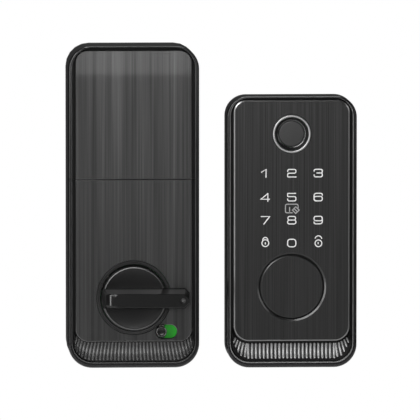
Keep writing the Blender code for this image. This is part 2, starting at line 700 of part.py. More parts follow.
def battery_case():
    x0, x1 = IN_X - TRAY_HALF_WIDTH, IN_X + TRAY_HALF_WIDTH
    outer = rounded_rect(x0, x1, TRAY_BOTTOM, TRAY_TOP, 3, 9, 3)
    inner = shrink(outer, 1.2)
    floor = BATTERY_DEPTH - BATTERY_RADIUS - GAP
    rings = [(outer, floor - 1.3), (outer, BATTERY_DEPTH + 1.5), (inner, BATTERY_DEPTH + 1.5), (inner, floor)]
    loft("battery_tray", rings, "black_casing")
    middle = BATTERY_BOTTOM + BATTERY_LENGTH / 2
    for i in range(4):
        x = IN_X + (i - 1.5) * BATTERY_PITCH
        up = 1 if i % 2 == 0 else -1
        battery("battery_%d" % (i + 1), x, middle, up)
        plain_end = middle - up * BATTERY_LENGTH / 2
        contact_spring("battery_spring_%d" % (i + 1), x, plain_end, -up)
    span = 1.5 * BATTERY_PITCH + 4.0
    low = BATTERY_BOTTOM - 4.6
    high = BATTERY_BOTTOM + BATTERY_LENGTH + 4.1
    for name, z in (("battery_contact_lower", low), ("battery_contact_upper", high)):
        box(name, IN_X - span, IN_X + span, z, z + 0.5, BATTERY_DEPTH - 5.5, BATTERY_DEPTH + 5.5, "steel")


def upright_turned(name, x, depth, profile, finish, segments=SMALL_ROUND):
    """A round piece about a vertical axis, from (radius, z) pairs with a cap at each end."""
    bm = bmesh.new()
    rings = []
    for radius, z in profile:
        ring = circle(x, depth, radius, segments)
        rings.append([bm.verts.new((px * MM, -d * MM, z * MM)) for px, d in ring])
    for here, there in zip(rings, rings[1:]):
        for i in range(segments):
            j = (i + 1) % segments
            bm.faces.new((here[i], here[j], there[j], there[i]))
    bm.faces.new(rings[0])
    bm.faces.new(rings[-1])
    return to_object(name, bm, finish)


def battery(name, x, middle, up):
    half = BATTERY_LENGTH / 2
    shape = (
        (5.2, -half), (BATTERY_RADIUS, -half + 0.4), (BATTERY_RADIUS, half - 2.0),
        (6.2, half - 1.3), (2.7, half - 1.3), (2.5, half),
    )
    upright_turned(name, x, BATTERY_DEPTH, [(r, middle + up * z) for r, z in shape], "battery_sleeve")


def contact_spring(name, x, start, direction):
    """Conical spring between a battery's plain end and the contact strip."""
    turns, per_turn, height, wire = 2.5, 10, 3.0, 0.35
    curve = bpy.data.curves.new(name, "CURVE")
    curve.dimensions = "3D"
    curve.bevel_depth = wire * MM
    curve.bevel_resolution = 0
    curve.use_fill_caps = True
    spline = curve.splines.new("POLY")
    count = int(turns * per_turn)
    spline.points.add(count)
    for i in range(count + 1):
        f = i / count
        angle = 2 * math.pi * turns * f
        radius = 2.2 + 2.6 * f
        z = start + direction * (GAP + wire + height * f)
        px = x + radius * math.cos(angle)
        depth = BATTERY_DEPTH + radius * math.sin(angle)
        spline.points[i].co = (px * MM, -depth * MM, z * MM, 1)
    curve.materials.append(material("steel"))
    bpy.context.scene.collection.objects.link(bpy.data.objects.new(name, curve))


def drive():
    """Thumbturn with its spindle, and the gears that join it to the motor."""
    x = IN_X
    disc = turned(
        "thumbturn", x, KNOB_Z,
        [(KNOB_RADIUS, KNOB_BACK), (KNOB_RADIUS, KNOB_FRONT - 0.7), (KNOB_RADIUS - 0.7, KNOB_FRONT)],
        "knob_black",
    )
    base = lever_outline(LEVER_HALF_BASE, 0.0)
    top = lever_outline(LEVER_HALF_TOP, 0.9)
    lever = loft("lever_tool", [(base, LEVER_BASE), (top, LEVER_FRONT)], "knob_black")
    apply_tool(disc, lever, "UNION")
    turned(
        "knob_recess_ring", x, KNOB_Z,
        [
            (RECESS_INNER, RECESS_BACK), (RECESS_OUTER, RECESS_BACK),
            (RECESS_OUTER, IN_PLATE_FRONT + 0.2), (RECESS_OUTER - 0.5, IN_PLATE_FRONT + 0.4),
            (RECESS_INNER, IN_PLATE_FRONT - 1.1),
        ],
        "black_casing", closed=True,
    )
    spindle = turned(
        "spindle", x, KNOB_Z,
        [(SPINDLE_RADIUS + 1.0, 1.0), (SPINDLE_RADIUS + 1.0, OUTPUT_LAYER[0] - 1.0),
         (SPINDLE_RADIUS, OUTPUT_LAYER[0] - 1.0), (SPINDLE_RADIUS, OUTPUT_LAYER[1] + 1.0),
         (SPINDLE_RADIUS - 1.0, OUTPUT_LAYER[1] + 1.0), (SPINDLE_RADIUS - 1.0, KNOB_BACK - GAP)],
        "steel", SMALL_ROUND,
    )
    socket = box(
        "tailpiece_socket_tool", x - TAILPIECE_WIDTH / 2 - 0.4, x + TAILPIECE_WIDTH / 2 + 0.4,
        KNOB_Z - 1.1, KNOB_Z + 1.1, 0, 8.0, "steel",
    )
    apply_tool(spindle, socket, "DIFFERENCE")

    gear_z = KNOB_Z + REDUCTION_DZ
    gear_x = x + REDUCTION_DX
    motor_x = x + MOTOR_DX
    motor_z = KNOB_Z + MOTOR_DZ
    to_gear = math.degrees(math.atan2(REDUCTION_DZ, REDUCTION_DX))
    to_motor = math.degrees(math.atan2(motor_z - gear_z, motor_x - gear_x))
    hole = circle(x, KNOB_Z, SPINDLE_RADIUS + GAP, SMALL_ROUND)
    output = prism(
        "output_gear", gear_outline(x, KNOB_Z, OUTPUT_TEETH, to_gear), *OUTPUT_LAYER, "gear_plastic", [hole]
    )
    bore = circle(gear_x, gear_z, 1.5, 12)
    big = prism(
        "reduction_gear", gear_outline(gear_x, gear_z, BIG_TEETH, to_motor), *REDUCTION_LAYER,
        "gear_plastic", [bore],
    )
    half_tooth = 180 / SMALL_TEETH
    small = prism(
        "small_wheel_tool", gear_outline(gear_x, gear_z, SMALL_TEETH, to_gear + 180 + half_tooth),
        REDUCTION_LAYER[1] - 0.5, OUTPUT_LAYER[1] + 0.3, "gear_plastic", [bore],
    )
    apply_tool(big, small, "UNION")
    turned(
        "reduction_gear_axle", gear_x, gear_z, [(1.2, 4.1), (1.2, 14.6)], "steel", 12
    )
    half_tooth = 180 / MOTOR_TEETH
    shaft = circle(motor_x, motor_z, 1.0 + GAP, 12)
    pinion = prism(
        "motor_pinion", gear_outline(motor_x, motor_z, MOTOR_TEETH, to_motor + 180 + half_tooth),
        REDUCTION_LAYER[0] - 0.3, REDUCTION_LAYER[1] + 0.3, "brass", [shaft],
    )
    motor_back = REDUCTION_LAYER[1] + 1.2
    turned(
        "motor", motor_x, motor_z,
        [(1.0, 4.6), (1.0, motor_back), (3.0, motor_back), (3.0, motor_back + 0.8),
         (MOTOR_RADIUS, motor_back + 0.8), (MOTOR_RADIUS, 27.0)],
        "steel", 28,
    )
    on_axis("thumbturn_axis", x, KNOB_Z, 0, (disc, spindle, output))
    on_axis("reduction_axis", gear_x, gear_z, 0, (big,))
    on_axis("motor_axis", motor_x, motor_z, 0, (pinion,))
    bearing = circle(x, KNOB_Z, SPINDLE_RADIUS + GAP, SMALL_ROUND)
    axle_hole = circle(gear_x, gear_z, 1.5, 12)
    motor_hole = circle(motor_x, motor_z, MOTOR_RADIUS + GAP, 28)
    frame = rounded_rect(x - 26, x + 28, KNOB_Z - 18, KNOB_Z + 42, 3, 3, 3)
    prism("gearbox_plate", frame, 13.6, 15.2, "white_plastic", [bearing, axle_hole, motor_hole])


def lever_outline(half_width, draw_in):
    """Lever bar with chamfered tip corners and a rounded tail."""
    tip = IN_X + LEVER_TIP - draw_in
    tail = IN_X + LEVER_TAIL + (TAIL_SLOPE if draw_in else 0)
    low, high = KNOB_Z - half_width, KNOB_Z + half_width
    return [
        (tail, low), (tip - LEVER_TIP_CUT, low), (tip, low + LEVER_TIP_CUT),
        (tip, high - LEVER_TIP_CUT), (tip - LEVER_TIP_CUT, high), (tail, high),
    ]


def inside_electronics():
    x0, x1 = IN_X - 27, IN_X + 29
    z0, z1 = IN_BASE + 12.0, KNOB_Z + 21.0
    hole = circle(IN_X, KNOB_Z, 6.0, SMALL_ROUND)
    prism(
        "main_circuit_board", rounded_rect(x0, x1, z0, z1, 4, 2, 3), BOARD_FRONT - BOARD_THICKNESS,
        BOARD_FRONT, "circuit_green", [hole],
    )
    cable_socket("inside_cable_socket", IN_X - 18, KNOB_Z + 8.0, BOARD_FRONT + GAP, BOARD_FRONT + 4.6)


def flag_outline(bx, side):
    """Flag beside the button, with a round far end so that it fits the slot's end."""
    root = bx + side * 1.8
    centre = bx + side * (FLAG_REACH - FLAG_HALF)
    outline = [(root, SWITCH_Z - FLAG_HALF), (root, SWITCH_Z + FLAG_HALF)]
    return outline + arc(centre, SWITCH_Z, FLAG_HALF, 90, 90 - side * 180, 10)


def privacy_switch():
    bx = SWITCH_X + BUTTON_OFFSET
    button = turned(
        "privacy_button", bx, SWITCH_Z,
        [
            (1.4, BUTTON_FRONT - 6.2), (1.4, BUTTON_FRONT - 3.4), (BUTTON_RADIUS, BUTTON_FRONT - 3.4),
            (BUTTON_RADIUS, BUTTON_FRONT - 0.4), (BUTTON_RADIUS - 0.4, BUTTON_FRONT),
        ],
        "knob_black", SMALL_ROUND,
    )
    green = prism("privacy_flag_green", flag_outline(bx, 1), *FLAG_LAYER, "flag_green")
    red = prism("privacy_flag_red", flag_outline(bx, -1), *FLAG_LAYER, "flag_red")
    box(
        "privacy_slide_switch", SWITCH_X - 6, SWITCH_X + 6, SWITCH_Z - 3, SWITCH_Z + 3,
        BOARD_FRONT + GAP, FLAG_LAYER[0] - 0.8, "white_plastic",
    )
    on_axis("privacy_slide", bx, SWITCH_Z, 25, (button, green, red))


def clear_scene():
    for item in list(bpy.data.objects):
        bpy.data.objects.remove(item, do_unlink=True)


def build_lock():
    clear_scene()
    pin_bore = outside_shell()
    fingerprint_reader()
    key_cover(pin_bore)
    lock_cylinder()
    outside_back()
    outside_electronics()
    inside_base()
    inside_covers()
    battery_case()
    drive()
    inside_electronics()
    privacy_switch()


build_lock()
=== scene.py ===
"""Looks of the keypad smart lock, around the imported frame.

Helpers take millimetres: x across, z up and d, the depth in front of the door plane (y = -d)."""

import math

import bmesh
import bpy
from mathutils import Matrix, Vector


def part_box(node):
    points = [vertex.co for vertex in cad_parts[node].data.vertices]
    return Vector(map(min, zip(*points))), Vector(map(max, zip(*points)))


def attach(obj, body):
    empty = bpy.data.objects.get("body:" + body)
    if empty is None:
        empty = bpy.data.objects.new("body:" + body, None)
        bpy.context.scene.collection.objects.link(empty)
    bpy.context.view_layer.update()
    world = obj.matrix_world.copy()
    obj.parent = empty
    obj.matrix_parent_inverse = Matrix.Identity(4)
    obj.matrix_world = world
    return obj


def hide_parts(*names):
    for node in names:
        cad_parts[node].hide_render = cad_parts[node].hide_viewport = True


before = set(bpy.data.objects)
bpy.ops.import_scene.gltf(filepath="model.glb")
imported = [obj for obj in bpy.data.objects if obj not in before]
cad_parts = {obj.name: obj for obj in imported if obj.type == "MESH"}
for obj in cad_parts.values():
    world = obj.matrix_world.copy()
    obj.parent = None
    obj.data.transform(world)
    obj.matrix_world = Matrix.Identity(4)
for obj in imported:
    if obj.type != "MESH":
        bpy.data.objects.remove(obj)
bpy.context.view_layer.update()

MM = 0.001
CORNER_STEPS = 14
ROUND = 128
SHARP_ANGLE = math.radians(28)
FACE_SHARP_ANGLE = math.radians(20)  # for plates, whose chamfers are shallow
LEVER_SHARP_ANGLE = math.radians(24)


# ---------------- the frame's measures

def box_mm(node):
    """Lowest and highest (x, depth, z) of a CAD node, in millimetres."""
    low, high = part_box(node)
    return (low[0] / MM, -high[1] / MM, low[2] / MM), (high[0] / MM, -low[1] / MM, high[2] / MM)


def centre_mm(node):
    """Middle of a CAD node across and up, in millimetres."""
    low, high = box_mm(node)
    return (low[0] + high[0]) / 2, (low[2] + high[2]) / 2


def round_mm(node):
    """Back, front and radius of a round CAD node, in millimetres."""
    low, high = box_mm(node)
    return low[1], high[1], (high[0] - low[0]) / 2


def joined_box_mm(nodes):
    """Lowest and highest (x, depth, z) over several CAD nodes, in millimetres."""
    lows, highs = zip(*(box_mm(node) for node in nodes))
    return [min(axis) for axis in zip(*lows)], [max(axis) for axis in zip(*highs)]


# Set in from the casing's outer faces: the rim's inner edge, and the opening in the ledge.
RIM_SIDE, RIM_TOP, RIM_BOTTOM = 2.3, 0.8, 3.2
LEDGE_SIDE, LEDGE_TOP, LEDGE_BOTTOM, LEDGE_CORNER = 5.5, 4.8, 9.5, 6.0
LEDGE_THICKNESS = 1.8
LEDGE_GAP = 0.35  # between the ledge and the front plate's skirt
WALL = 2.0


class Unit:
    """One casing with its front plate: outer box, corner radii and depths."""

    def __init__(self, shells, plates, corners, plate_corners, ledge):
        (self.x0, self.back, self.z0), (self.x1, self.crest, self.z1) = joined_box_mm(shells)
        self.x = (self.x0 + self.x1) / 2
        low, high = joined_box_mm(plates)
        self.plate_x0, self.plate_x1 = low[0], high[0]
        self.plate_z0, self.plate_z1 = low[2], high[2]
        self.plate_front = high[1]
        self.r_bottom, self.r_top = corners
        self.plate_r_bottom, self.plate_r_top = plate_corners
        self.ledge = ledge

    def outline(self, side, top, bottom, r_bottom, r_top):
        """Rounded outline set in from the casing's outer faces."""
        return rounded_rect(
            self.x0 + side, self.x1 - side, self.z0 + bottom, self.z1 - top, r_bottom, r_top
        )

    def rim(self, s):
        """Outline between the outer wall (s = 0) and the rim's inner edge (s = 1)."""
        return self.outline(
            RIM_SIDE * s, RIM_TOP * s, RIM_BOTTOM * s, self.r_bottom - 2.2 * s, self.r_top - 1.6 * s
        )


# ---------------- outlines

def arc(cx, cz, radius, start, end, steps):
    """Points along an arc, with its angles in degrees."""
    points = []
    for i in range(steps + 1):
        a = math.radians(start + (end - start) * i / steps)
        points.append((cx + radius * math.cos(a), cz + radius * math.sin(a)))
    return points


def rounded_rect(x0, x1, z0, z1, r_bottom, r_top, steps=CORNER_STEPS):
    """Rectangle with one radius at its lower corners and one at its upper corners."""
    corners = (
        (x1 - r_bottom, z0 + r_bottom, r_bottom, -90),
        (x1 - r_top, z1 - r_top, r_top, 0),
        (x0 + r_top, z1 - r_top, r_top, 90),
        (x0 + r_bottom, z0 + r_bottom, r_bottom, 180),
    )
    points = []
    for cx, cz, radius, start in corners:
        points += arc(cx, cz, max(radius, 0.05), start, start + 90, steps)
    return points


def circle(cx, cz, radius, segments=ROUND):
    """Points round a circle."""
    return arc(cx, cz, radius, 0, 360 * (segments - 1) / segments, segments - 1)


def stadium(cx, cz, half_length, radius):
    """Slot with round ends."""
    reach = half_length - radius
    return arc(cx + reach, cz, radius, -90, 90, 24) + arc(cx - reach, cz, radius, 90, 270, 24)


def bend(corner, a, b, reach):
    """Points that round off a corner; a and b lead away along its sides."""
    corner = Vector(corner)
    start, end = corner + a.normalized() * reach, corner + b.normalized() * reach
    points = []
    for k in range(7):
        t = k / 6
        point = start * (1 - t) ** 2 + corner * 2 * t * (1 - t) + end * t ** 2
        points.append((point.x, point.y))
    return points


def between(near, far, f):
    """Line of points at the fraction f of the way between two others."""
    return [(a[0] + (b[0] - a[0]) * f, a[1] + (b[1] - a[1]) * f) for a, b in zip(near, far)]


def along(path, t):
    """Point at the fraction t of a path's length."""
    lengths = [math.dist(a, b) for a, b in zip(path, path[1:])]
    left = t * sum(lengths)
    for a, b, length in zip(path, path[1:], lengths):
        if left <= length or b is path[-1]:
            f = min(1.0, left / length)
            return (a[0] + (b[0] - a[0]) * f, a[1] + (b[1] - a[1]) * f)
        left -= length


# ---------------- meshes

def vertex(bm, x, z, d):
    """A vertex at a place in millimetres."""
    return bm.verts.new((x * MM, -d * MM, z * MM))


def skin(bm, loops, closed=False, material=0):
    """Quads between rings of vertices."""
    pairs = list(zip(loops, loops[1:]))
    if closed:
        pairs.append((loops[-1], loops[0]))
    for here, there in pairs:
        for i in range(len(here)):
            j = (i + 1) % len(here)
            face = bm.faces.new((here[i], here[j], there[j], there[i]))
            face.material_index = material


def piece(name, bm, paints, sharp=SHARP_ANGLE):
    """Turns a bmesh into a linked, smooth-shaded object; paints names its finishes in order."""
    bmesh.ops.recalc_face_normals(bm, faces=bm.faces)
    mesh = bpy.data.meshes.new(name)
    bm.to_mesh(mesh)
    bm.free()
    mesh.shade_smooth()
    mesh.set_sharp_from_angle(angle=sharp)
    for paint in paints.split():
        mesh.materials.append(PAINT[paint])
    made = bpy.data.objects.new(name, mesh)
    bpy.context.scene.collection.objects.link(made)
    return made


def loft(name, rings, paints, closed=False, cut=None, bands=()):
    """Skin over rings of (outline, depth). A band (first ring, material index) colours the skin
    from that ring on; cut keeps what is above or below a level z."""
    bm = bmesh.new()
    loops = [[vertex(bm, x, z, d) for x, z in points] for points, d in rings]
    index = 0
    marks = dict(bands)
    for i, (here, there) in enumerate(zip(loops, loops[1:])):
        index = marks.get(i, index)
        skin(bm, [here, there], material=index)
    if closed:
        skin(bm, [loops[-1], loops[0]], material=index)
    else:
        bm.faces.new(loops[0])
        bm.faces.new(loops[-1]).material_index = marks.get(len(loops) - 1, index)
    if cut:
        keep_side(bm, *cut)
    return piece(name, bm, paints)


def keep_side(bm, level, up):
    """Cuts the mesh at a level and caps the cut; keeps the upper side if up is true."""
    geometry = bm.verts[:] + bm.edges[:] + bm.faces[:]
    normal = (0, 0, -1 if up else 1)
    bmesh.ops.bisect_plane(
        bm, geom=geometry, dist=1e-7, plane_co=(0, 0, level * MM), plane_no=normal, clear_outer=True
    )
    edges = [edge for edge in bm.edges if edge.is_boundary]
    bmesh.ops.holes_fill(bm, edges=edges, sides=0)


def turned(name, x, z, profile, paints, closed=False, bands=()):
    """Round piece about an axis along Y, from (radius, depth) pairs."""
    rings = [(circle(x, z, max(radius, 0.02)), depth) for radius, depth in profile]
    return loft(name, rings, paints, closed, bands=bands)


def flat_fill(bm, loops, material=0):
    """Fills a flat area between an outer loop and its holes."""
    edges = []
    for loop in loops:
        for a, b in zip(loop, loop[1:] + loop[:1]):
            edges.append(bm.edges.get((a, b)) or bm.edges.new((a, b)))
    filled = bmesh.ops.triangle_fill(bm, use_beauty=True, use_dissolve=False, edges=edges)
    for item in filled["geom"]:
        if isinstance(item, bmesh.types.BMFace):
            item.material_index = material


PLATE_FACE = 2.4  # thickness of a front plate
PLATE_SKIRT = 0.8  # thickness of the skirt behind its outer edge


def panel(name, shapes, unit, paints, body, node):
    """Thin plate with polished chamfers and a skirt that runs back from its outer edge.
    Each shape is (outline for an inset, chamfer width, chamfer depth, chamfer's finish); the first
    is the outside and the others are holes. Finishes 0 and 2 are the face and the sides."""
    front, back = unit.plate_front, unit.ledge + LEDGE_GAP
    bm = bmesh.new()
    tops, bottoms = [], []
    for number, (outline, width, depth, index) in enumerate(shapes):
        outside = number == 0
        levels = [(width if outside else -width, front), (0, front - depth)]
        if outside:
            levels += [(0, back), (PLATE_SKIRT, back), (PLATE_SKIRT, front - PLATE_FACE)]
        else:
            levels += [(0, front - PLATE_FACE)]
        loops = [[vertex(bm, x, z, d) for x, z in outline(draw_in)] for draw_in, d in levels]
        skin(bm, loops[:2], material=index)
        skin(bm, loops[1:], material=2)
        tops.append(loops[0])
        bottoms.append(loops[-1])
    flat_fill(bm, tops, 0)
    flat_fill(bm, bottoms, 2)
    settle(piece(name, bm, paints, FACE_SHARP_ANGLE), body, "brushed_panel", node)


# ---------------- materials

def shader_tree(name, colour, roughness, metallic=0.0, **extras):
    """A new material with its Principled BSDF set; extras are further socket values."""
    made = bpy.data.materials.new(name)
    made.use_nodes = True
    tree = made.node_tree
    shader = tree.nodes["Principled BSDF"]
    shader.inputs["Base Color"].default_value = (*colour, 1)
    shader.inputs["Roughness"].default_value = roughness
    shader.inputs["Metallic"].default_value = metallic
    for socket, value in extras.items():
        shader.inputs[socket.replace("_", " ")].default_value = value
    return made, tree, shader


def add_node(tree, kind, links, **values):
    """A new shader node with its sockets linked or set."""
    node = tree.nodes.new("ShaderNode" + kind)
    for socket, source in links.items():
        tree.links.new(source, node.inputs[socket])
    for socket, value in values.items():
        node.inputs[socket.replace("_", " ")].default_value = value
    return node


def object_space(tree, **values):
    """Object coordinates through a mapping."""
    coordinates = tree.nodes.new("ShaderNodeTexCoord").outputs["Object"]
    return add_node(tree, "Mapping", {"Vector": coordinates}, **values).outputs["Vector"]


def stretched_noise(tree, scale, stretch, detail=2.0):
    """Noise in object space; stretch gives the scale along x, y and z."""
    place = object_space(tree, Scale=stretch)
    return add_node(tree, "TexNoise", {"Vector": place}, Scale=scale, Detail=detail).outputs["Fac"]


def ramp(tree, source, stops, interpolation="LINEAR"):
    """Colour ramp over a value; stops are (position, colour)."""
    node = add_node(tree, "ValToRGB", {"Fac": source})
    node.color_ramp.interpolation = interpolation
    elements = node.color_ramp.elements
    while len(elements) < len(stops):
        elements.new(0.5)
    for element, (position, colour) in zip(elements, stops):
        element.position = position
        element.color = (*colour, 1)
    return node.outputs["Color"]


def grey(value):
    """Neutral colour."""
    return (value, value, value)


def grey_ramp(tree, source, dark, light, low=0.3, high=0.7):
    """Ramp from a dark grey to a light one."""
    return ramp(tree, source, [(low, grey(dark)), (high, grey(light))])


def multiply_colours(tree, factor, a, b):
    """Colour a darkened by colour b, to the extent of factor."""
    node = tree.nodes.new("ShaderNodeMix")
    node.data_type = "RGBA"
    node.blend_type = "MULTIPLY"
    node.inputs["Factor"].default_value = factor
    tree.links.new(a, node.inputs["A"])
    tree.links.new(b, node.inputs["B"])
    return node.outputs["Result"]


def mottle(tree, shader, source, colour, darkest, low=0.3, high=0.7):
    """Lets the colour fall to a share of itself where the source is low."""
    darker = tuple(c * darkest for c in colour)
    tree.links.new(ramp(tree, source, [(low, darker), (high, colour)]), shader.inputs["Base Color"])


def vary_roughness(tree, shader, source, low, high):
    """Roughness from low to high over the source's range."""
    level = add_node(tree, "MapRange", {"Value": source}, To_Min=low, To_Max=high)
    tree.links.new(level.outputs["Result"], shader.inputs["Roughness"])


def add_bump(tree, shader, height, strength, distance):
    """Fine relief; the distance is in metres."""
    bump = add_node(tree, "Bump", {"Height": height}, Strength=strength, Distance=distance)
    tree.links.new(bump.outputs["Normal"], shader.inputs["Normal"])


def brushed_panel(name, dark, light, width=1.0, broad_low=0.72):
    """Dark brushed metal under a clear coat: streaks of three widths run up and down."""
    made, tree, shader = shader_tree(
        name, grey(dark), 0.38, 0.9, Anisotropic=0.5, Coat_Weight=0.2, Coat_Roughness=0.03
    )
    tangent = tree.nodes.new("ShaderNodeTangent")
    tangent.direction_type = "RADIAL"
    tangent.axis = "Z"
    tree.links.new(tangent.outputs["Tangent"], shader.inputs["Tangent"])
    broad = stretched_noise(tree, 1.0, (150 / width, 1, 3), 1.0)
    middle = stretched_noise(tree, 1.0, (620 / width, 1, 5), 3.0)
    fine = stretched_noise(tree, 1.0, (2600, 1, 14), 3.0)
    tone = grey_ramp(tree, middle, dark, light, 0.25, 0.75)
    tone = multiply_colours(tree, 1.0, tone, grey_ramp(tree, broad, broad_low, 1.0))
    tone = multiply_colours(tree, 0.8, tone, grey_ramp(tree, fine, 0.55, 1.0))
    tree.links.new(tone, shader.inputs["Base Color"])
    vary_roughness(tree, shader, middle, 0.48, 0.28)
    add_bump(tree, shader, fine, 0.12, 0.00002)
    return made


def satin_plastic(name, colour, roughness, grain=0.10, **extras):
    """Moulded plastic: fine spark-eroded grain and slow changes of gloss."""
    made, tree, shader = shader_tree(name, colour, roughness, **extras)
    cloud = stretched_noise(tree, 60.0, (1, 1, 1), 3.0)
    dust = stretched_noise(tree, 2600.0, (1, 1, 1), 2.0)
    mottle(tree, shader, cloud, colour, 0.82)
    vary_roughness(tree, shader, cloud, roughness - 0.05, roughness + 0.05)
    add_bump(tree, shader, dust, grain, 0.00003)
    return made


def turned_metal(name, colour, roughness):
    """Machined metal: fine rings about the Y axis, with slow colour changes."""
    made, tree, shader = shader_tree(name, colour, roughness, 1.0)
    cloud = stretched_noise(tree, 90.0, (1, 1, 1), 4.0)
    lines = stretched_noise(tree, 2200.0, (0.25, 1, 0.25), 1.0)
    mottle(tree, shader, cloud, colour, 0.78, 0.3, 0.72)
    vary_roughness(tree, shader, lines, roughness - 0.07, roughness + 0.09)
    add_bump(tree, shader, lines, 0.08, 0.00002)
    return made


def circuit_board():
    """Green solder resist over faint copper traces."""
    made, tree, shader = shader_tree("board_green", (0.02, 0.13, 0.05), 0.32, Coat_Weight=0.4)
    place = object_space(tree, Rotation=(math.pi / 2, 0, 0))
    bricks = add_node(
        tree, "TexBrick", {"Vector": place}, Scale=190.0, Mortar_Size=0.012,
        Color1=(0.016, 0.115, 0.042, 1), Color2=(0.022, 0.150, 0.058, 1), Mortar=(0.060, 0.230, 0.090, 1),
    )
    tree.links.new(bricks.outputs["Color"], shader.inputs["Base Color"])
    return made


def battery_sleeve(name, low, high, up):
    """Plain sleeve with one coloured band towards the cell's positive end and bare metal ends."""
    made, tree, shader = shader_tree(name, grey(0.03), 0.28, 0.35, Coat_Weight=0.3)
    coordinates = tree.nodes.new("ShaderNodeTexCoord").outputs["Object"]
    height = add_node(tree, "SeparateXYZ", {"Vector": coordinates}).outputs["Z"]
    first, last = (low, high) if up else (high, low)
    place = add_node(tree, "MapRange", {"Value": height}, From_Min=first * MM, From_Max=last * MM)
    steel, sleeve, band = grey(0.55), (0.022, 0.030, 0.045), (0.50, 0.26, 0.10)
    stops = [(0.0, steel), (0.02, sleeve), (0.70, band), (0.955, steel)]
    colour = ramp(tree, place.outputs["Result"], stops, "CONSTANT")
    scuffs = grey_ramp(tree, stretched_noise(tree, 400.0, (1, 1, 0.3), 4.0), 0.8, 1.0)
    tree.links.new(multiply_colours(tree, 1.0, colour, scuffs), shader.inputs["Base Color"])
    return made


def plain_glow(name, colour, roughness):
    """Printed translucent marks: off-white ink, very slightly uneven."""
    made, tree, shader = shader_tree(name, colour, roughness)
    cloud = stretched_noise(tree, 900.0, (1, 1, 1), 2.0)
    mottle(tree, shader, cloud, colour, 0.86, 0.35, 0.65)
    return made


def polished_edge_and_highlight(name, colour, roughness):
    """Cut and polished metal edge with faint lengthwise marks; on black mouldings the same lighter metal is
    a painted highlight.
    """
    made, tree, shader = shader_tree(name, colour, roughness, 1.0, Coat_Weight=0.15)
    lines = stretched_noise(tree, 160.0, (1, 1, 1), 2.0)
    mottle(tree, shader, lines, colour, 0.92)
    vary_roughness(tree, shader, lines, roughness - 0.02, roughness + 0.03)
    return made


def pale_floor():
    """Matt and nearly even."""
    made, tree, shader = shader_tree("floor_pale", grey(0.86), 0.7)
    cloud = stretched_noise(tree, 3.0, (1, 1, 1), 2.0)
    tree.links.new(grey_ramp(tree, cloud, 0.84, 0.88), shader.inputs["Base Color"])
    return made


def make_materials():
    """Every finish, by the name that the pieces use."""
    matt = {"Specular_IOR_Level": 0.22}
    gloss = {"Specular_IOR_Level": 0.10, "Coat_Weight": 0.55, "Coat_Roughness": 0.14}
    bowl_coat = {"Coat_Weight": 1.0, "Coat_Roughness": 0.10}
    return {
        "casing": satin_plastic("casing_black", (0.0035, 0.0035, 0.0038), 0.36, 0.06, **gloss),
        "casing_dark": satin_plastic("casing_matt_black", grey(0.008), 0.55, 0.2),
        # The lip finishes are lighter metal over the black casings' crests: painted highlights, dimmer on
        # the inside unit.
        "lip": polished_edge_and_highlight("rim_lip_painted_highlight", grey(0.20), 0.36),
        "lip_highlight_dim": polished_edge_and_highlight("rim_lip_painted_highlight_dark", grey(0.07), 0.36),
        "brushed": brushed_panel("brushed_panel", 0.031, 0.080),
        "brushed_fine": brushed_panel("brushed_panel_fine", 0.020, 0.050, 0.4, 0.86),
        "edge": polished_edge_and_highlight("panel_edge", grey(0.20), 0.30),
        "edge_faint": polished_edge_and_highlight("panel_edge_faint", grey(0.038), 0.34),
        "edge_dim": polished_edge_and_highlight("panel_edge_dim", grey(0.16), 0.30),
        "groove": satin_plastic("groove_black", grey(0.003), 0.6, 0.1, **matt),
        "ribs": polished_edge_and_highlight("rib_grey", grey(0.34), 0.58),
        "ribs_dark": polished_edge_and_highlight("rib_dark_grey", grey(0.12), 0.58),
        "ring": polished_edge_and_highlight("fingerprint_ring_chrome", grey(0.30), 0.45),
        "bowl": satin_plastic("bowl_gloss_black", grey(0.006), 0.24, 0.02, **bowl_coat),
        "sensor": satin_plastic("sensor_face", grey(0.022), 0.42, 0.05, **matt),
        "ink": plain_glow("mark_ink", grey(0.50), 0.5),
        "ink_dim": plain_glow("mark_ink_dim", grey(0.20), 0.5),
        "knob": satin_plastic("knob_satin_black", grey(0.0030), 0.34, 0.04, **gloss),
        "recess": satin_plastic("recess_dark_grey", grey(0.017), 0.38, 0.04, **matt),
        # Lighter metal on the black knob's bevel, the lever's dimple and the slide button's rim: painted
        # highlights.
        "knob_edge": polished_edge_and_highlight("knob_edge", grey(0.10), 0.30),
        "steel": turned_metal("zinc_steel", (0.52, 0.53, 0.55), 0.34),
        "blackened": turned_metal("blackened_steel", grey(0.035), 0.42),
        "brass": turned_metal("turned_brass", (0.62, 0.45, 0.17), 0.28),
        "rubber": satin_plastic("gasket_rubber", grey(0.014), 0.75, 0.35),
        "board": circuit_board(),
        "diffuser": satin_plastic(
            "frosted_diffuser", (0.62, 0.66, 0.68), 0.45, 0.1, Transmission_Weight=0.35
        ),
        "white": satin_plastic("white_moulding", (0.68, 0.67, 0.63), 0.48, 0.12),
        "gear": satin_plastic("gear_nylon", (0.72, 0.70, 0.62), 0.50, 0.10, Subsurface_Weight=0.05),
        "green": satin_plastic("flag_green", (0.018, 0.400, 0.020), 0.40, 0.05, **matt),
        "red": satin_plastic("flag_red", (0.500, 0.020, 0.018), 0.40, 0.05, **matt),
        "floor": pale_floor(),
    }


PAINT = make_materials()


# ---------------- pieces

def settle(made, body, slot, *replaced):
    """The piece rides on its body and stands for the replaced nodes; the slot is not used."""
    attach(made, body)
    if replaced:
        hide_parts(*replaced)


# Between these rings the crest takes the lighter lip finish: a painted highlight on the black casing.
LIP_START, LIP_END = 11, 14  # of the rings below
LEDGE_LIFT = 0.02


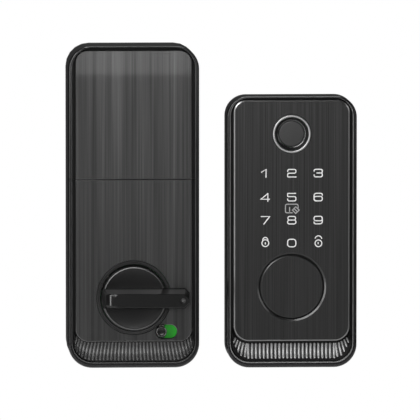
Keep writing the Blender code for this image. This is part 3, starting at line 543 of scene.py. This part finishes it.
def casing_rings(unit, side_end):
    """Cross-section of a casing from its back, over the rounded rim and its lip, to the cavity."""
    rings = [(unit.rim(0.0), unit.back + 0.25), (unit.rim(0.0), side_end)]
    for i in range(1, 8):
        a = math.radians(90 * i / 7)
        rings.append((unit.rim(0.46 * (1 - math.cos(a))), side_end + (unit.crest - side_end) * math.sin(a)))
    for s, drop in ((0.66, 0.02), (0.72, 0.22), (0.76, 0.16), (0.83, 0.04), (0.92, 0.05), (1.0, 0.30)):
        rings.append((unit.rim(s), unit.crest - drop))
    floor = unit.ledge + LEDGE_LIFT
    opening = unit.outline(LEDGE_SIDE, LEDGE_TOP, LEDGE_BOTTOM, LEDGE_CORNER, LEDGE_CORNER)
    cavity = unit.outline(WALL, WALL, WALL, unit.r_bottom - WALL, unit.r_top - WALL)
    rings += [
        (unit.rim(1.0), floor), (opening, floor), (opening, floor - LEDGE_THICKNESS),
        (cavity, floor - LEDGE_THICKNESS),
        (cavity, unit.back), (unit.outline(0.25, 0.25, 0.25, unit.r_bottom, unit.r_top), unit.back),
    ]
    return rings


def casing_shell(name, unit, side_end, lip, body, node, cut=None):
    """A casing from its cross-section; the band over its lip takes a lighter metal as a painted highlight,
    and what lies inside takes its own finish.
    """
    bands = ((LIP_START, 1), (LIP_END, 2))
    rings = casing_rings(unit, side_end)
    shell = loft(name, rings, "casing %s groove" % lip, closed=True, cut=cut, bands=bands)
    settle(shell, body, "black_casing", node)


def plate_shape(unit, z0, z1, r_bottom, r_top):
    """Outline function of a front plate, for a given inset."""
    def shape(draw_in):
        low, high = max(r_bottom - draw_in, 0.25), max(r_top - draw_in, 0.25)
        return rounded_rect(
            unit.plate_x0 + draw_in, unit.plate_x1 - draw_in, z0 + draw_in, z1 - draw_in, low, high
        )
    return shape


def hole_shape(x, z, radius):
    """Outline function of a round hole: a positive inset makes it smaller."""
    return lambda draw_in: circle(x, z, radius - draw_in)


def slot_shape(x, z, half_length, radius):
    """Outline function of a slot with round ends."""
    return lambda draw_in: stadium(x, z, half_length - draw_in, radius - draw_in)


def stroke(bm, path, width, back, front, closed=False):
    """Flat stroke with round ends along a path."""
    count = len(path)
    left, right = [], []
    for i, (x, z) in enumerate(path):
        before = path[i - 1] if (i > 0 or closed) else path[i]
        after = path[(i + 1) % count] if (i < count - 1 or closed) else path[i]
        tangent = Vector((after[0] - before[0], after[1] - before[1])).normalized()
        normal = Vector((-tangent.y, tangent.x)) * (width / 2)
        if 0 < i < count - 1 or closed:
            arm = Vector((after[0] - x, after[1] - z)).normalized()
            normal /= max(0.5, abs(arm.dot(tangent)))
        left.append((x + normal.x, z + normal.y))
        right.append((x - normal.x, z - normal.y))
    if closed:
        loops = [(left, front), (right, front), (right, back), (left, back)]
        skin(bm, [[vertex(bm, x, z, d) for x, z in points] for points, d in loops], closed=True)
        return
    outline = left + cap(path[-1], path[-2], width) + right[::-1] + cap(path[0], path[1], width)
    top = [vertex(bm, x, z, front) for x, z in outline]
    bottom = [vertex(bm, x, z, back) for x, z in outline]
    skin(bm, [top, bottom])
    bm.faces.new(top)
    bm.faces.new(bottom)


def cap(end, inner, width):
    """Points of the half circle round a stroke's end, from its left side to its right."""
    a = math.degrees(math.atan2(end[1] - inner[1], end[0] - inner[0]))
    return arc(end[0], end[1], width / 2, a + 90, a - 90, 8)[1:-1]


def filleted(points, radii):
    """Path through the points with its inner corners rounded."""
    path = [points[0]]
    last = len(points) - 3
    for i, (before, corner, after, radius) in enumerate(zip(points, points[1:], points[2:], radii)):
        a = Vector(before) - Vector(corner)
        b = Vector(after) - Vector(corner)
        half = a.angle(b) / 2
        share_a = 0.95 if i == 0 else 0.48
        share_b = 0.95 if i == last else 0.48
        reach = min(radius / math.tan(half), a.length * share_a, b.length * share_b)
        path += bend(corner, a, b, reach)
    path.append(points[-1])
    return path


DIGIT_HALF_WIDTH = 2.15
DIGIT_HALF_HEIGHT = 1.97
STROKE_WIDTH = 0.52


def digit_paths(digit):
    """Centre lines of one keypad digit, as (path, closed) pairs."""
    w, h = DIGIT_HALF_WIDTH, DIGIT_HALF_HEIGHT
    r, tight = 1.4, 0.95
    if digit == 0:
        return [(rounded_rect(-w, w, -h, h, r, r, 6), True)]
    if digit == 1:
        return [([(-2.0, 0.55), (0.33, h + 0.1), (0.33, -h - 0.1)], False)]
    if digit == 2:
        points = [(-w, 0.85), (-w, h), (w, h), (w, 0.0), (-w, 0.0), (-w, -h), (w + 0.1, -h)]
        return [(filleted(points, (r, r, tight, tight, 0.3)), False)]
    if digit == 3:
        upper = [(-w, 0.95), (-w, h), (w, h), (w, 0.05), (-0.7, 0.05)]
        lower = [(0.6, 0.05), (w, 0.05), (w, -h), (-w, -h), (-w, -0.95)]
        return [(filleted(upper, (r, tight, tight)), False), (filleted(lower, (tight, tight, r)), False)]
    if digit == 4:
        return [([(2.2, -1.0), (-2.3, -1.0), (1.3, h)], False), ([(1.3, h), (1.3, -h - 0.1)], False)]
    if digit == 5:
        points = [(w - 0.1, h), (-w, h), (-w, 0.3), (w, 0.3), (w, -h), (-w, -h), (-w, -0.95)]
        return [(filleted(points, (0.3, 0.4, tight, tight, r)), False)]
    if digit == 7:
        return [([(-w, h), (w + 0.1, h), (-0.8, -h - 0.05)], False)]
    if digit == 8:
        upper = rounded_rect(-w + 0.15, w - 0.15, 0.08, h, 0.9, 0.9, 6)
        lower = rounded_rect(-w, w, -h, 0.08, tight, tight, 6)
        return [(upper, True), (lower, True)]
    hook = filleted([(w, 0.95), (w, h), (-w, h), (-w, -h), (0.0, -h)], (r, r, r))
    bowl = rounded_rect(-w, w, -h, 0.35, tight, tight, 6)
    paths = [(hook, False), (bowl, True)]
    if digit == 9:
        paths = [([(-x, -z) for x, z in path], closed) for path, closed in paths]
    return paths


def padlock_paths(is_open):
    """Round padlock: ring body, keyhole and a shackle that stands off the body when it is open."""
    keyhole = ([(0, 0.28), (0, -0.5)], False)
    if is_open:
        shackle = (arc(0.15, 1.95, 1.75, 165, 12, 12), False)
        return [(circle(0.15, -0.2, 1.75, 28), True), shackle, keyhole]
    return [(circle(0, 0.0, 1.78, 28), True), (arc(0, 1.65, 1.32, 190, -10, 12), False), keyhole]


def card_paths():
    """Generic access card: an outline, a stripe and a diamond over its lower right corner."""
    card = filleted([(3.3, 0.3), (3.3, 2.25), (-3.3, 2.25), (-3.3, -2.25), (0.2, -2.25)], (1.0, 1.0, 1.0))
    diamond = [(2.1, 0.9), (0.35, -0.85), (2.1, -2.6), (3.85, -0.85)]
    stripe = [(-1.1, 0.6), (-1.1, -1.5)]
    slash = [(1.5, -0.35), (2.6, -1.45)]
    return [(card, False), (diamond, True), (stripe, False), (slash, False)]


# ---------------- fluted trims

RIB_ROWS = 18
SCOOP_FLOOR = 1.4  # the scoop's inner edge over the trim's back
SCOOP_GAP = 0.3
RIB_FOOT = 0.5  # how far a rib goes into the floor


def scoop_depth(f):
    """Depth of the scoop's floor above its inner edge, at the fraction f of the way out."""
    return 9.9 * f * f - 6.9 * f


def rib(bm, near, far, width, floor, rise, f0, f1):
    """Rounded bar along the scoop, from the fraction f0 of its way to f1, with round ends."""
    along_rib = Vector((far[0] - near[0], far[1] - near[1]))
    side = Vector((-along_rib.y, along_rib.x)).normalized()
    sections = []
    for row in range(RIB_ROWS + 1):
        t = 0.5 - 0.5 * math.cos(math.pi * row / RIB_ROWS)
        to_end = min(t, 1 - t) * along_rib.length
        round_off = min(1.0, to_end / (width * 0.5))
        swell = max(math.sqrt(max(0.0, 1 - (1 - round_off) ** 2)), 0.06)
        depth = floor + scoop_depth(f0 + (f1 - f0) * t)
        middle = Vector(near) + along_rib * t
        half = width / 2 * swell
        loop = []
        for k in range(9):
            a = math.pi * k / 8
            place = middle + side * (math.cos(a) * half)
            loop.append(vertex(bm, place.x, place.y, depth + math.sin(a) * rise * swell))
        for foot in (middle - side * half, middle + side * half):
            loop.append(vertex(bm, foot.x, foot.y, depth - RIB_FOOT))
        sections.append(loop)
    skin(bm, sections)
    bm.faces.new(sections[0])
    bm.faces.new(sections[-1])


def scoop_floor(side, unit, paint):
    """Smooth concave floor between the front plate and the rim, under the ribs."""
    node = side + "_fluted_trim"
    back = box_mm(node)[0][1]
    near = trim_line(unit, 0.0)
    far = trim_line(unit, 1.0)
    bm = bmesh.new()
    rows = []
    for row in range(13):
        depth = back + SCOOP_FLOOR + scoop_depth(row / 12)
        rows.append([vertex(bm, x, z, depth) for x, z in between(near, far, row / 12)])
    back_near, back_far = ([vertex(bm, x, z, back + 0.05) for x, z in line] for line in (near, far))
    sections = list(zip(back_near, *rows, back_far))
    skin(bm, sections)
    bm.faces.new(sections[0])
    bm.faces.new(sections[-1])
    settle(piece(side + "_scoop", bm, paint), "lock", "flute_grey", node)


def trim_line(unit, f):
    """The scoop's inner edge (f = 0), outer edge (f = 1) or a line between them."""
    near_r = unit.plate_r_bottom + LEDGE_GAP
    near_x = unit.plate_x1 + LEDGE_GAP - near_r
    near_z = unit.plate_z0 - LEDGE_GAP + near_r
    far_r = unit.r_bottom - WALL
    far_x = unit.x1 - RIM_SIDE - SCOOP_GAP - far_r
    far_z = unit.z0 + RIM_BOTTOM + SCOOP_GAP + far_r
    points = between(arc(near_x, near_z, near_r, 0, -90, 20), arc(far_x, far_z, far_r, 0, -90, 20), f)
    return points + [(2 * unit.x - x, z) for x, z in reversed(points)]


def fan_of_ribs(name, unit, node, count, width, rise, starts, paint):
    """Ribs that fan out between the plate's edge and the rim."""
    floor = box_mm(node)[0][1] + SCOOP_FLOOR
    near_line = trim_line(unit, starts[0])
    far_line = trim_line(unit, starts[1])
    bm = bmesh.new()
    for i in range(count):
        t = 0.045 + 0.91 * (i + 0.5) / count
        rib(bm, along(near_line, t), along(far_line, t), width, floor, rise, *starts)
    settle(piece(name, bm, paint), "lock", "flute_grey", node)


RIB_PITCH, RIB_WIDTH, RIB_RISE = 2.035, 1.45, 0.95
RIB_TOP, RIB_BOTTOM = 12.6, 4.5  # above the casing's lower end
RIB_START, RIB_END = 0.08, 0.86  # fractions of the way over the scoop
UPRIGHT_EACH_SIDE = 11
CORNER_RIBS = 5
CORNER_TURN, CORNER_CENTRE = 9.0, 21.6  # the corner ribs start on this radius about this height
CORNER_REACH = 7.4


def separate_ribs(name, unit, node, paint):
    """Upright ribs under the plate, and shorter ones that lean outwards round each corner."""
    bm = bmesh.new()
    floor = box_mm(node)[0][1] + SCOOP_FLOOR
    for i in range(-UPRIGHT_EACH_SIDE, UPRIGHT_EACH_SIDE + 1):
        x = unit.x + i * RIB_PITCH
        top, bottom = (x, unit.z0 + RIB_TOP), (x, unit.z0 + RIB_BOTTOM)
        rib(bm, top, bottom, RIB_WIDTH, floor, RIB_RISE, RIB_START, RIB_END)
    centre_x, centre_z = unit.x + UPRIGHT_EACH_SIDE * RIB_PITCH, unit.z0 + CORNER_CENTRE
    for i in range(CORNER_RIBS):
        a = math.radians(5.0 + 10.3 * i)
        start = (centre_x + CORNER_TURN * math.sin(a), centre_z - CORNER_TURN * math.cos(a))
        lean = math.radians(8.0 + 4.2 * i)
        reach = CORNER_REACH - 0.2 * i * i
        end = (start[0] + reach * math.sin(lean), start[1] - reach * math.cos(lean))
        share = RIB_START + (RIB_END - RIB_START) * reach / CORNER_REACH
        for sign in (1, -1):
            pair = [(unit.x + sign * (x - unit.x), z) for x, z in (start, end)]
            rib(bm, *pair, RIB_WIDTH - 0.07 * i, floor, RIB_RISE - 0.06 * i, RIB_START, share)
    settle(piece(name, bm, paint), "lock", "flute_grey", node)


# ---------------- outside unit

SIDE_DROP_OUT, SIDE_DROP_IN = 1.8, 2.2  # from a casing's crest back to its straight sides
OUT_CORNERS, OUT_PLATE_CORNERS = (12.0, 11.0), (7.8, 6.3)  # radii at the bottom and the top
IN_CORNERS, IN_PLATE_CORNERS = (12.5, 12.0), (6.5, 6.5)
PLATE_LIFT = 0.3  # a plate's back over the ledge
RING_GAP, COVER_GAP = 0.15, 0.6
HAIR_CHAMFER = (0.1, 0.1, 2)  # width, depth and material index


def outside_unit():
    """Casing, front plate, fluted scoop, and all that sits in the plate."""
    unit = Unit(
        ["outside_housing"], ["outside_front_plate"], OUT_CORNERS, OUT_PLATE_CORNERS,
        box_mm("outside_front_plate")[0][1] - PLATE_LIFT,
    )
    casing_shell("outside_shell", unit, unit.crest - SIDE_DROP_OUT, "lip", "lock", "outside_housing")

    ring_x, ring_z = centre_mm("fingerprint_ring")
    cover_x, cover_z = centre_mm("key_cover")
    whole = plate_shape(unit, unit.plate_z0, unit.plate_z1, unit.plate_r_bottom, unit.plate_r_top)
    ring_hole = hole_shape(ring_x, ring_z, round_mm("fingerprint_ring")[2] + RING_GAP)
    cover_hole = hole_shape(cover_x, cover_z, round_mm("key_cover")[2] + COVER_GAP)
    shapes = [(whole, 0.62, 0.36, 1), (ring_hole, *HAIR_CHAMFER), (cover_hole, 0.85, 0.4, 3)]
    paints = "brushed_fine edge groove edge_faint"
    panel("outside_brushed_front", shapes, unit, paints, "lock", "outside_front_plate")
    scoop_floor("outside", unit, "groove")
    separate_ribs("outside_ribs", unit, "outside_fluted_trim", "ribs")
    fingerprint(ring_x, ring_z)
    keypad(unit)
    key_disc(cover_x, cover_z)


RING_WIDTH, RING_CROWN = 1.15, 0.45
BOWL_DEPTH, BOWL_EDGE = 1.75, 0.12
SENSOR_CROWN = 0.13


def fingerprint(x, z):
    """Bright ring with a round crown, gloss bowl inside it, and the domed touch face."""
    back, front, outer = round_mm("fingerprint_ring")
    inner = outer - RING_WIDTH
    middle, half = (outer + inner) / 2, (outer - inner) / 2
    profile = [(outer, back), (outer, front - RING_CROWN)]
    for i in range(9):
        a = math.pi * i / 8
        profile.append((middle + half * math.cos(a), front - RING_CROWN * (1 - math.sin(a))))
    profile += [(inner, back)]
    made = turned("fingerprint_bright_ring", x, z, profile, "ring", closed=True)
    settle(made, "lock", "bright_ring", "fingerprint_ring")

    back, front, outer = round_mm("fingerprint_bowl")
    edge = outer - BOWL_EDGE
    inner = round_mm("fingerprint_sensor")[2] + 0.3
    profile = [(outer, back), (outer, front - 0.1), (edge, front)]
    for i in range(1, 10):
        t = i / 9
        profile.append((edge + (inner - edge) * t, front - BOWL_DEPTH * math.sin(math.pi / 2 * t)))
    profile += [(inner, back)]
    made = turned("fingerprint_gloss_bowl", x, z, profile, "bowl", closed=True)
    settle(made, "lock", "black_casing", "fingerprint_bowl")

    back, front, outer = round_mm("fingerprint_sensor")
    crown = front - SENSOR_CROWN
    profile = [(outer, back), (outer, front - 0.45), (outer - 0.12, front - 0.25), (outer - 0.35, crown)]
    for i in range(1, 9):
        profile.append((outer * (1 - i / 8), crown + SENSOR_CROWN * math.sin(math.pi / 2 * i / 8)))
    made = turned("fingerprint_touch_face", x, z, profile, "sensor")
    settle(made, "lock", "sensor_glass", "fingerprint_sensor")


KEY_COLUMN = 13.75
KEY_ROWS = (101.5, 89.0, 77.0, 65.1)  # above the casing's lower end
CARD_HEIGHT = 83.1
LAYER_STEP = 0.008
SYMBOL_WIDTH = 0.50


def keypad(unit):
    """Digits and marks printed on the plate."""
    back, front = unit.plate_front - 0.02, unit.plate_front + 0.03
    keys = [(digit, (digit - 1) % 3 - 1, (digit - 1) // 3) for digit in range(1, 10)] + [(0, 0, 3)]
    for digit, column, row in keys:
        centre = (unit.x + column * KEY_COLUMN, unit.z0 + KEY_ROWS[row])
        mark("digit_%d" % digit, digit_paths(digit), centre, STROKE_WIDTH, back, front, "ink")
    for name, column, is_open in (("padlock_closed", -1, False), ("padlock_open", 1, True)):
        centre = (unit.x + column * KEY_COLUMN, unit.z0 + KEY_ROWS[3])
        mark(name, padlock_paths(is_open), centre, SYMBOL_WIDTH, back, front, "ink")
    centre = (unit.x, unit.z0 + CARD_HEIGHT)
    mark("card_mark", card_paths(), centre, STROKE_WIDTH, back, front, "ink_dim")


def mark(name, paths, centre, width, back, front, paint):
    """One printed mark; each stroke lies a little over the last, so that no two faces coincide."""
    bm = bmesh.new()
    for i, (path, closed) in enumerate(paths):
        moved = [(centre[0] + x, centre[1] + z) for x, z in path]
        stroke(bm, moved, width, back, front + LAYER_STEP * i, closed)
    settle(piece(name, bm, paint), "lock", "clear_plastic")


def bore_along_x(made, node, radius):
    """Cuts a bore along a CAD rod through a piece, and keeps the result as the piece's mesh."""
    low, high = box_mm(node)
    section = circle((low[2] + high[2]) / 2, (low[1] + high[1]) / 2, radius, 24)
    drill = bmesh.new()
    rings = [[vertex(drill, x, z, d) for z, d in section] for x in (low[0] - 2, high[0] + 2)]
    skin(drill, rings)
    for ring in rings:
        drill.faces.new(ring)
    cutter = piece("bore_cutter", drill, "")
    bore = made.modifiers.new("bore", "BOOLEAN")
    bore.object = cutter
    bore.solver = "EXACT"
    graph = bpy.context.evaluated_depsgraph_get()
    cut = bpy.data.meshes.new_from_object(made.evaluated_get(graph), depsgraph=graph)
    made.modifiers.clear()
    made.data = cut
    bpy.data.objects.remove(cutter)


HINGE_BORE_RADIUS = 0.8


def key_disc(x, z):
    """Round brushed cover over the key cylinder, with its hinge bore."""
    back, front, radius = round_mm("key_cover")
    profile = [(radius - 0.5, back), (radius, back + 0.5), (radius, front - 0.5)]
    profile += [(radius - 0.15, front - 0.36), (radius - 0.75, front)]
    paints = "groove edge_faint brushed_fine"
    made = turned("key_cover_disc", x, z, profile, paints, bands=((3, 1), (4, 2)))
    bore_along_x(made, "key_cover_hinge_pin", HINGE_BORE_RADIUS)
    settle(made, "key_flap", "brushed_panel", "key_cover")


# ---------------- inside unit

PARTED_CORNER = 0.3
SLOT_DX, SLOT_HEIGHT = 16.9, 18.9  # slot's middle from the knob's axis and the casing's lower end
SLOT_HALF_LENGTH, SLOT_RADIUS = 5.5, 3.6
IN_CHAMFER = (0.28, 0.25, 1)


def inside_unit():
    """Casing and plate in two parts, fluted scoop, thumbturn and privacy switch."""
    unit = Unit(
        ["inside_front_cover", "battery_cover"], ["inside_front_plate", "battery_cover_plate"],
        IN_CORNERS, IN_PLATE_CORNERS, box_mm("inside_front_plate")[0][1] - PLATE_LIFT,
    )
    for name, body, node, upper in (
        ("inside_lower_shell", "lock", "inside_front_cover", False),
        ("battery_door_shell", "battery_door", "battery_cover", True),
    ):
        level = box_mm(node)[0 if upper else 1][2]
        casing_shell(name, unit, unit.crest - SIDE_DROP_IN, "lip_highlight_dim", body, node, (level, upper))

    knob_x, knob_z = centre_mm("knob_recess_ring")
    recess = round_mm("knob_recess_ring")[2]
    lower_shape = plate_shape(
        unit, unit.plate_z0, box_mm("inside_front_plate")[1][2], unit.plate_r_bottom, PARTED_CORNER
    )
    upper_shape = plate_shape(
        unit, box_mm("battery_cover_plate")[0][2], unit.plate_z1, PARTED_CORNER, unit.plate_r_top
    )
    slot = slot_shape(knob_x + SLOT_DX, unit.z0 + SLOT_HEIGHT, SLOT_HALF_LENGTH, SLOT_RADIUS)
    lower_plate = [
        (lower_shape, *IN_CHAMFER),
        (hole_shape(knob_x, knob_z, recess + 0.2), *HAIR_CHAMFER),
        (slot, *IN_CHAMFER),
    ]
    for name, shapes, body, node in (
        ("inside_brushed_front", lower_plate, "lock", "inside_front_plate"),
        ("battery_door_front", [(upper_shape, *IN_CHAMFER)], "battery_door", "battery_cover_plate"),
    ):
        panel(name, shapes, unit, "brushed edge_dim groove", body, node)
    scoop_floor("inside", unit, "recess")
    fan_of_ribs("inside_ribs", unit, "inside_fluted_trim", 35, 1.42, 0.6, (0.03, 0.95), "ribs_dark")
    recess_ring(knob_x, knob_z)
    thumbturn(knob_x, knob_z)
    privacy_switch()


RECESS_WIDTH = 1.8


def recess_ring(x, z):
    """Dark ring round the knob, with a step down to it."""
    back, front, outer = round_mm("knob_recess_ring")
    inner = outer - RECESS_WIDTH
    profile = [
        (outer, back), (outer, front - 0.25), (outer - 0.25, front), (outer - 0.55, front - 0.02),
        (outer - 0.75, front - 0.30), (inner + 0.25, front - 0.45), (inner, front - 0.8), (inner, back),
    ]
    made = turned("knob_dark_ring", x, z, profile, "recess", closed=True)
    settle(made, "lock", "black_casing", "knob_recess_ring")


LEVER_EDGE = 0.2  # chamfer round the lever's front face
TAIL_REACH, TAIL_DEPTH = 4.4, 3.4  # half axes of the rounded end of the lever's tail


def lever_loop(x, z, half, tip, tail, cut, tail_round):
    """Outline of the lever: chamfered tip corners and slightly rounded tail corners."""
    corners = [
        ((x + tail, z - half), tail_round), ((x + tip - cut, z - half), 0.5),
        ((x + tip, z - half + cut), 0.5), ((x + tip, z + half - cut), 0.5),
        ((x + tip - cut, z + half), 0.5), ((x + tail, z + half), tail_round),
    ]
    points = []
    for i, (corner, radius) in enumerate(corners):
        before, after = corners[i - 1][0], corners[(i + 1) % len(corners)][0]
        a, b = Vector(before) - Vector(corner), Vector(after) - Vector(corner)
        reach = min(radius / math.tan(a.angle(b) / 2), a.length * 0.45, b.length * 0.45)
        points += bend(corner, a, b, reach)
    return points


KNOB_RADIUS, KNOB_BASE, KNOB_FACE = 16.95, 32.2, 38.8
TAIL_BASE, TAIL_FRONT = -16.4, -10.8  # the lever's tail at the knob and at its front face
LEVER_HALF_WIDTH, LEVER_TAPER = 4.85, 1.4
TIP_DRAFT, TIP_CUT, TAIL_ROUND = 0.9, 2.35, 1.6
DIMPLE_X = 24.6


def thumbturn(x, z):
    """Round knob with a tall lever bar across it."""
    lever_right, lever_front = box_mm("thumbturn")[1][:2]
    radius, base, face = KNOB_RADIUS, KNOB_BASE, KNOB_FACE
    profile = [(radius - 0.3, base), (radius, base + 0.3), (radius, face - 1.05)]
    profile += [(radius - 0.2, face - 0.72), (radius - 0.75, face - 0.12), (radius - 1.15, face)]
    profile += [(radius - 1.6, face - 0.06), (6.0, face - 0.1)]
    # The bevel band takes the lighter metal: a painted highlight on the black knob.
    disc = turned("thumbturn_disc", x, z, profile, "knob knob_edge knob", bands=((3, 1), (5, 2)))
    settle(disc, "thumbturn_set", "knob_black", "thumbturn")

    tip_reach = lever_right - x
    height = lever_front - face
    levels = [-0.4, 0.0, 0.35, 0.9] + [height * (0.12 + 0.07 * i) for i in range(11)]
    levels = [level for level in levels if level < height - TAIL_DEPTH]
    levels += [height - TAIL_DEPTH * (1 - math.cos(math.radians(a))) for a in range(90, 19, -6)]
    levels += [height - LEVER_EDGE, height]
    rings = []
    for level in levels:
        t = max(0.0, min(1.0, level / height))
        flare = 0.7 * max(0.0, 0.6 - 0.8 * max(level, 0))
        edge = LEVER_EDGE if level == height else 0.0
        drop = height - level
        if drop <= TAIL_DEPTH:
            tail = TAIL_FRONT - TAIL_REACH * math.sqrt(1 - (1 - drop / TAIL_DEPTH) ** 2)
        else:
            share = min(1.0, (drop - TAIL_DEPTH) / (height - TAIL_DEPTH))
            tail = TAIL_FRONT - TAIL_REACH + (TAIL_BASE - TAIL_FRONT + TAIL_REACH) * share
        half = LEVER_HALF_WIDTH - LEVER_TAPER * t + flare - edge
        tip = tip_reach - TIP_DRAFT * t - edge
        rings.append((lever_loop(x, z, half, tip, tail, TIP_CUT, TAIL_ROUND), face + level))
    bm = bmesh.new()
    loops = [[vertex(bm, px, pz, d) for px, pz in points] for points, d in rings]
    skin(bm, loops)
    bm.faces.new(loops[0])
    dimple = [(1.35, 0.0), (1.22, 0.12), (1.05, 0.7), (0.8, 1.0)]
    bowl = []
    for r, drop in dimple:
        ring = circle(x + DIMPLE_X, z, r, 40)
        bowl.append([vertex(bm, px, pz, lever_front - drop) for px, pz in ring])
    flat_fill(bm, [loops[-1], bowl[0]])
    # The dimple takes the lighter metal: a painted highlight on the black lever.
    skin(bm, bowl, material=1)
    bm.faces.new(bowl[-1]).material_index = 1
    lever = piece("thumbturn_lever", bm, "knob knob_edge", LEVER_SHARP_ANGLE)
    settle(lever, "thumbturn_set", "knob_black", "thumbturn")


STEM_RADIUS, STEM_LENGTH = 1.4, 2.8


def privacy_switch():
    """Round slide button with a hollow face, on its stem."""
    x, z = centre_mm("privacy_button")
    back, front, radius = round_mm("privacy_button")
    profile = [(STEM_RADIUS, back), (STEM_RADIUS, back + STEM_LENGTH), (radius, back + STEM_LENGTH)]
    profile += [(radius, front - 0.45), (radius - 0.12, front - 0.15), (radius - 0.38, front)]
    profile += [(radius - 0.62, front - 0.12), (radius - 0.9, front - 0.5), (0.9, front - 0.62)]
    # The rim band takes the lighter metal: a painted highlight on the black button.
    bands = ((4, 1), (6, 2))
    made = turned("privacy_round_button", x, z, profile, "knob knob_edge knob", bands=bands)
    settle(made, "privacy_slider", "knob_black", "privacy_button")


# ---------------- carried-over nodes

def finish_node(name, material, bevel):
    """Gives a CAD node that stays its finish and small rounded edges."""
    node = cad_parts[name]
    node.data.materials.clear()
    node.data.materials.append(material)
    for polygon in node.data.polygons:
        polygon.material_index = 0
    if bevel:
        edge = node.modifiers.new("edge", "BEVEL")
        edge.width = bevel * MM
        edge.segments = 2
        edge.limit_method = "ANGLE"
        edge.angle_limit = math.radians(35)


def carried_over():
    """Finishes of the CAD nodes that stay as they are."""
    finishes = {
        "casing_dark": "key_pocket buzzer inside_base battery_tray",
        "rubber": "outside_gasket",
        "blackened": "key_cover_hinge_pin",
        "brass": "cylinder_body cylinder_plug motor_pinion",
        "steel": """
            key_cover_magnet cylinder_clip tailpiece outside_backplate backplate_screw_left
            backplate_screw_right mounting_post_left mounting_post_right inside_mounting_plate
            battery_spring_1 battery_spring_2 battery_spring_3 battery_spring_4
            battery_contact_lower battery_contact_upper spindle reduction_gear_axle motor
        """,
        "board": "keypad_circuit_board main_circuit_board",
        "diffuser": "keypad_light_guide",
        "white": "outside_cable_socket inside_cable_socket gearbox_plate privacy_slide_switch",
        "gear": "output_gear reduction_gear",
        "green": "privacy_flag_green",
        "red": "privacy_flag_red",
    }
    fine = ("battery_spring_", "battery_contact_", "key_cover_hinge_pin")
    for finish, names in finishes.items():
        for name in names.split():
            finish_node(name, PAINT[finish], 0.0 if name.startswith(fine) else 0.12)
    for i in range(1, 5):
        name = "battery_%d" % i
        low, high = box_mm(name)
        finish_node(name, battery_sleeve("sleeve_%d" % i, low[2], high[2], i % 2 == 1), 0.25)


# ---------------- camera, floor and lights

CAMERA_TARGET = Vector((-0.0428, -0.025, 0.0121))
CAMERA_AZIMUTH, CAMERA_ELEVATION, CAMERA_DISTANCE = -3.21, 4.45, 4.0
CAMERA_LENS, CAMERA_SENSOR = 661.0, 36.0


def aimed(name, data, place, target):
    """A camera or light at a place, turned towards a target."""
    made = bpy.data.objects.new(name, data)
    made.location = place
    made.rotation_mode = "QUATERNION"
    made.rotation_quaternion = (Vector(target) - Vector(place)).to_track_quat("-Z", "Y")
    bpy.context.scene.collection.objects.link(made)
    return made


def make_camera():
    """Long lens in front of both units, a little to the left and above."""
    data = bpy.data.cameras.new("camera")
    data.lens = CAMERA_LENS
    data.sensor_width = CAMERA_SENSOR
    azimuth, elevation = math.radians(CAMERA_AZIMUTH), math.radians(CAMERA_ELEVATION)
    across = math.cos(elevation)
    back = Vector((math.sin(azimuth) * across, -math.cos(azimuth) * across, math.sin(elevation)))
    place = CAMERA_TARGET + back * CAMERA_DISTANCE
    bpy.context.scene.camera = aimed("camera", data, place, CAMERA_TARGET)


def make_floor():
    """Pale round floor well below the units, with a soft drop at its rim."""
    bm = bmesh.new()
    loops = []
    for radius, drop in ((1.25, 0.02), (1.20, 0.0), (0.4, 0.0)):
        ring = circle(0, 0, radius, 96)
        loops.append([bm.verts.new((x - 0.04, y, -0.26 - drop)) for x, y in ring])
    skin(bm, loops)
    bm.faces.new(loops[-1])
    piece("floor", bm, "floor")


def make_world(strength):
    """White to the camera, softer as a light."""
    world = bpy.data.worlds.new("world")
    world.use_nodes = True
    tree = world.node_tree
    background = tree.nodes["Background"]
    background.inputs["Color"].default_value = (1, 1, 1, 1)
    to_camera = tree.nodes.new("ShaderNodeLightPath").outputs["Is Camera Ray"]
    level = add_node(tree, "MapRange", {"Value": to_camera}, To_Min=strength, To_Max=1.0)
    tree.links.new(level.outputs["Result"], background.inputs["Strength"])
    bpy.context.scene.world = world


def area_light(name, place, size, power, target=(-0.04, 0, 0)):
    """Rectangular light that the camera doesn't see."""
    data = bpy.data.lights.new(name, "AREA")
    data.shape = "RECTANGLE"
    data.size, data.size_y = size
    data.energy = power
    aimed(name, data, place, target).visible_camera = False


def make_lights():
    """Soft main light from the upper left, strips for the edges, small lights near the plates."""
    make_world(0.05)
    area_light("key_upper_left", (-1.5, -1.7, 1.5), (1.2, 1.2), 50)
    area_light("strip_left", (-1.65, -1.75, -0.10), (0.5, 1.4), 24)
    area_light("fill_right", (1.7, -1.4, 0.5), (0.8, 1.2), 10)
    area_light("front_wide", (-0.6, -4.2, 0.9), (2.4, 1.4), 22)
    area_light("near_upper_left", (-0.35, -0.75, 0.50), (0.30, 0.30), 0.2, (-0.05, 0, 0.04))
    area_light("near_upper_middle", (-0.09, -0.42, 0.30), (0.15, 0.15), 0.9, (0, 0, 0.05))
    area_light("top_card", (-0.15, -1.0, 0.130), (0.4, 0.21), 1.5, (-0.15, 0, 0.130))
    area_light("top_behind", (0.0, 0.75, 1.5), (1.0, 0.6), 18)


def build():
    """Everything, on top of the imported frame."""
    outside_unit()
    inside_unit()
    carried_over()
    make_floor()
    make_camera()
    make_lights()
    bpy.context.scene.view_settings.view_transform = "Standard"


build()
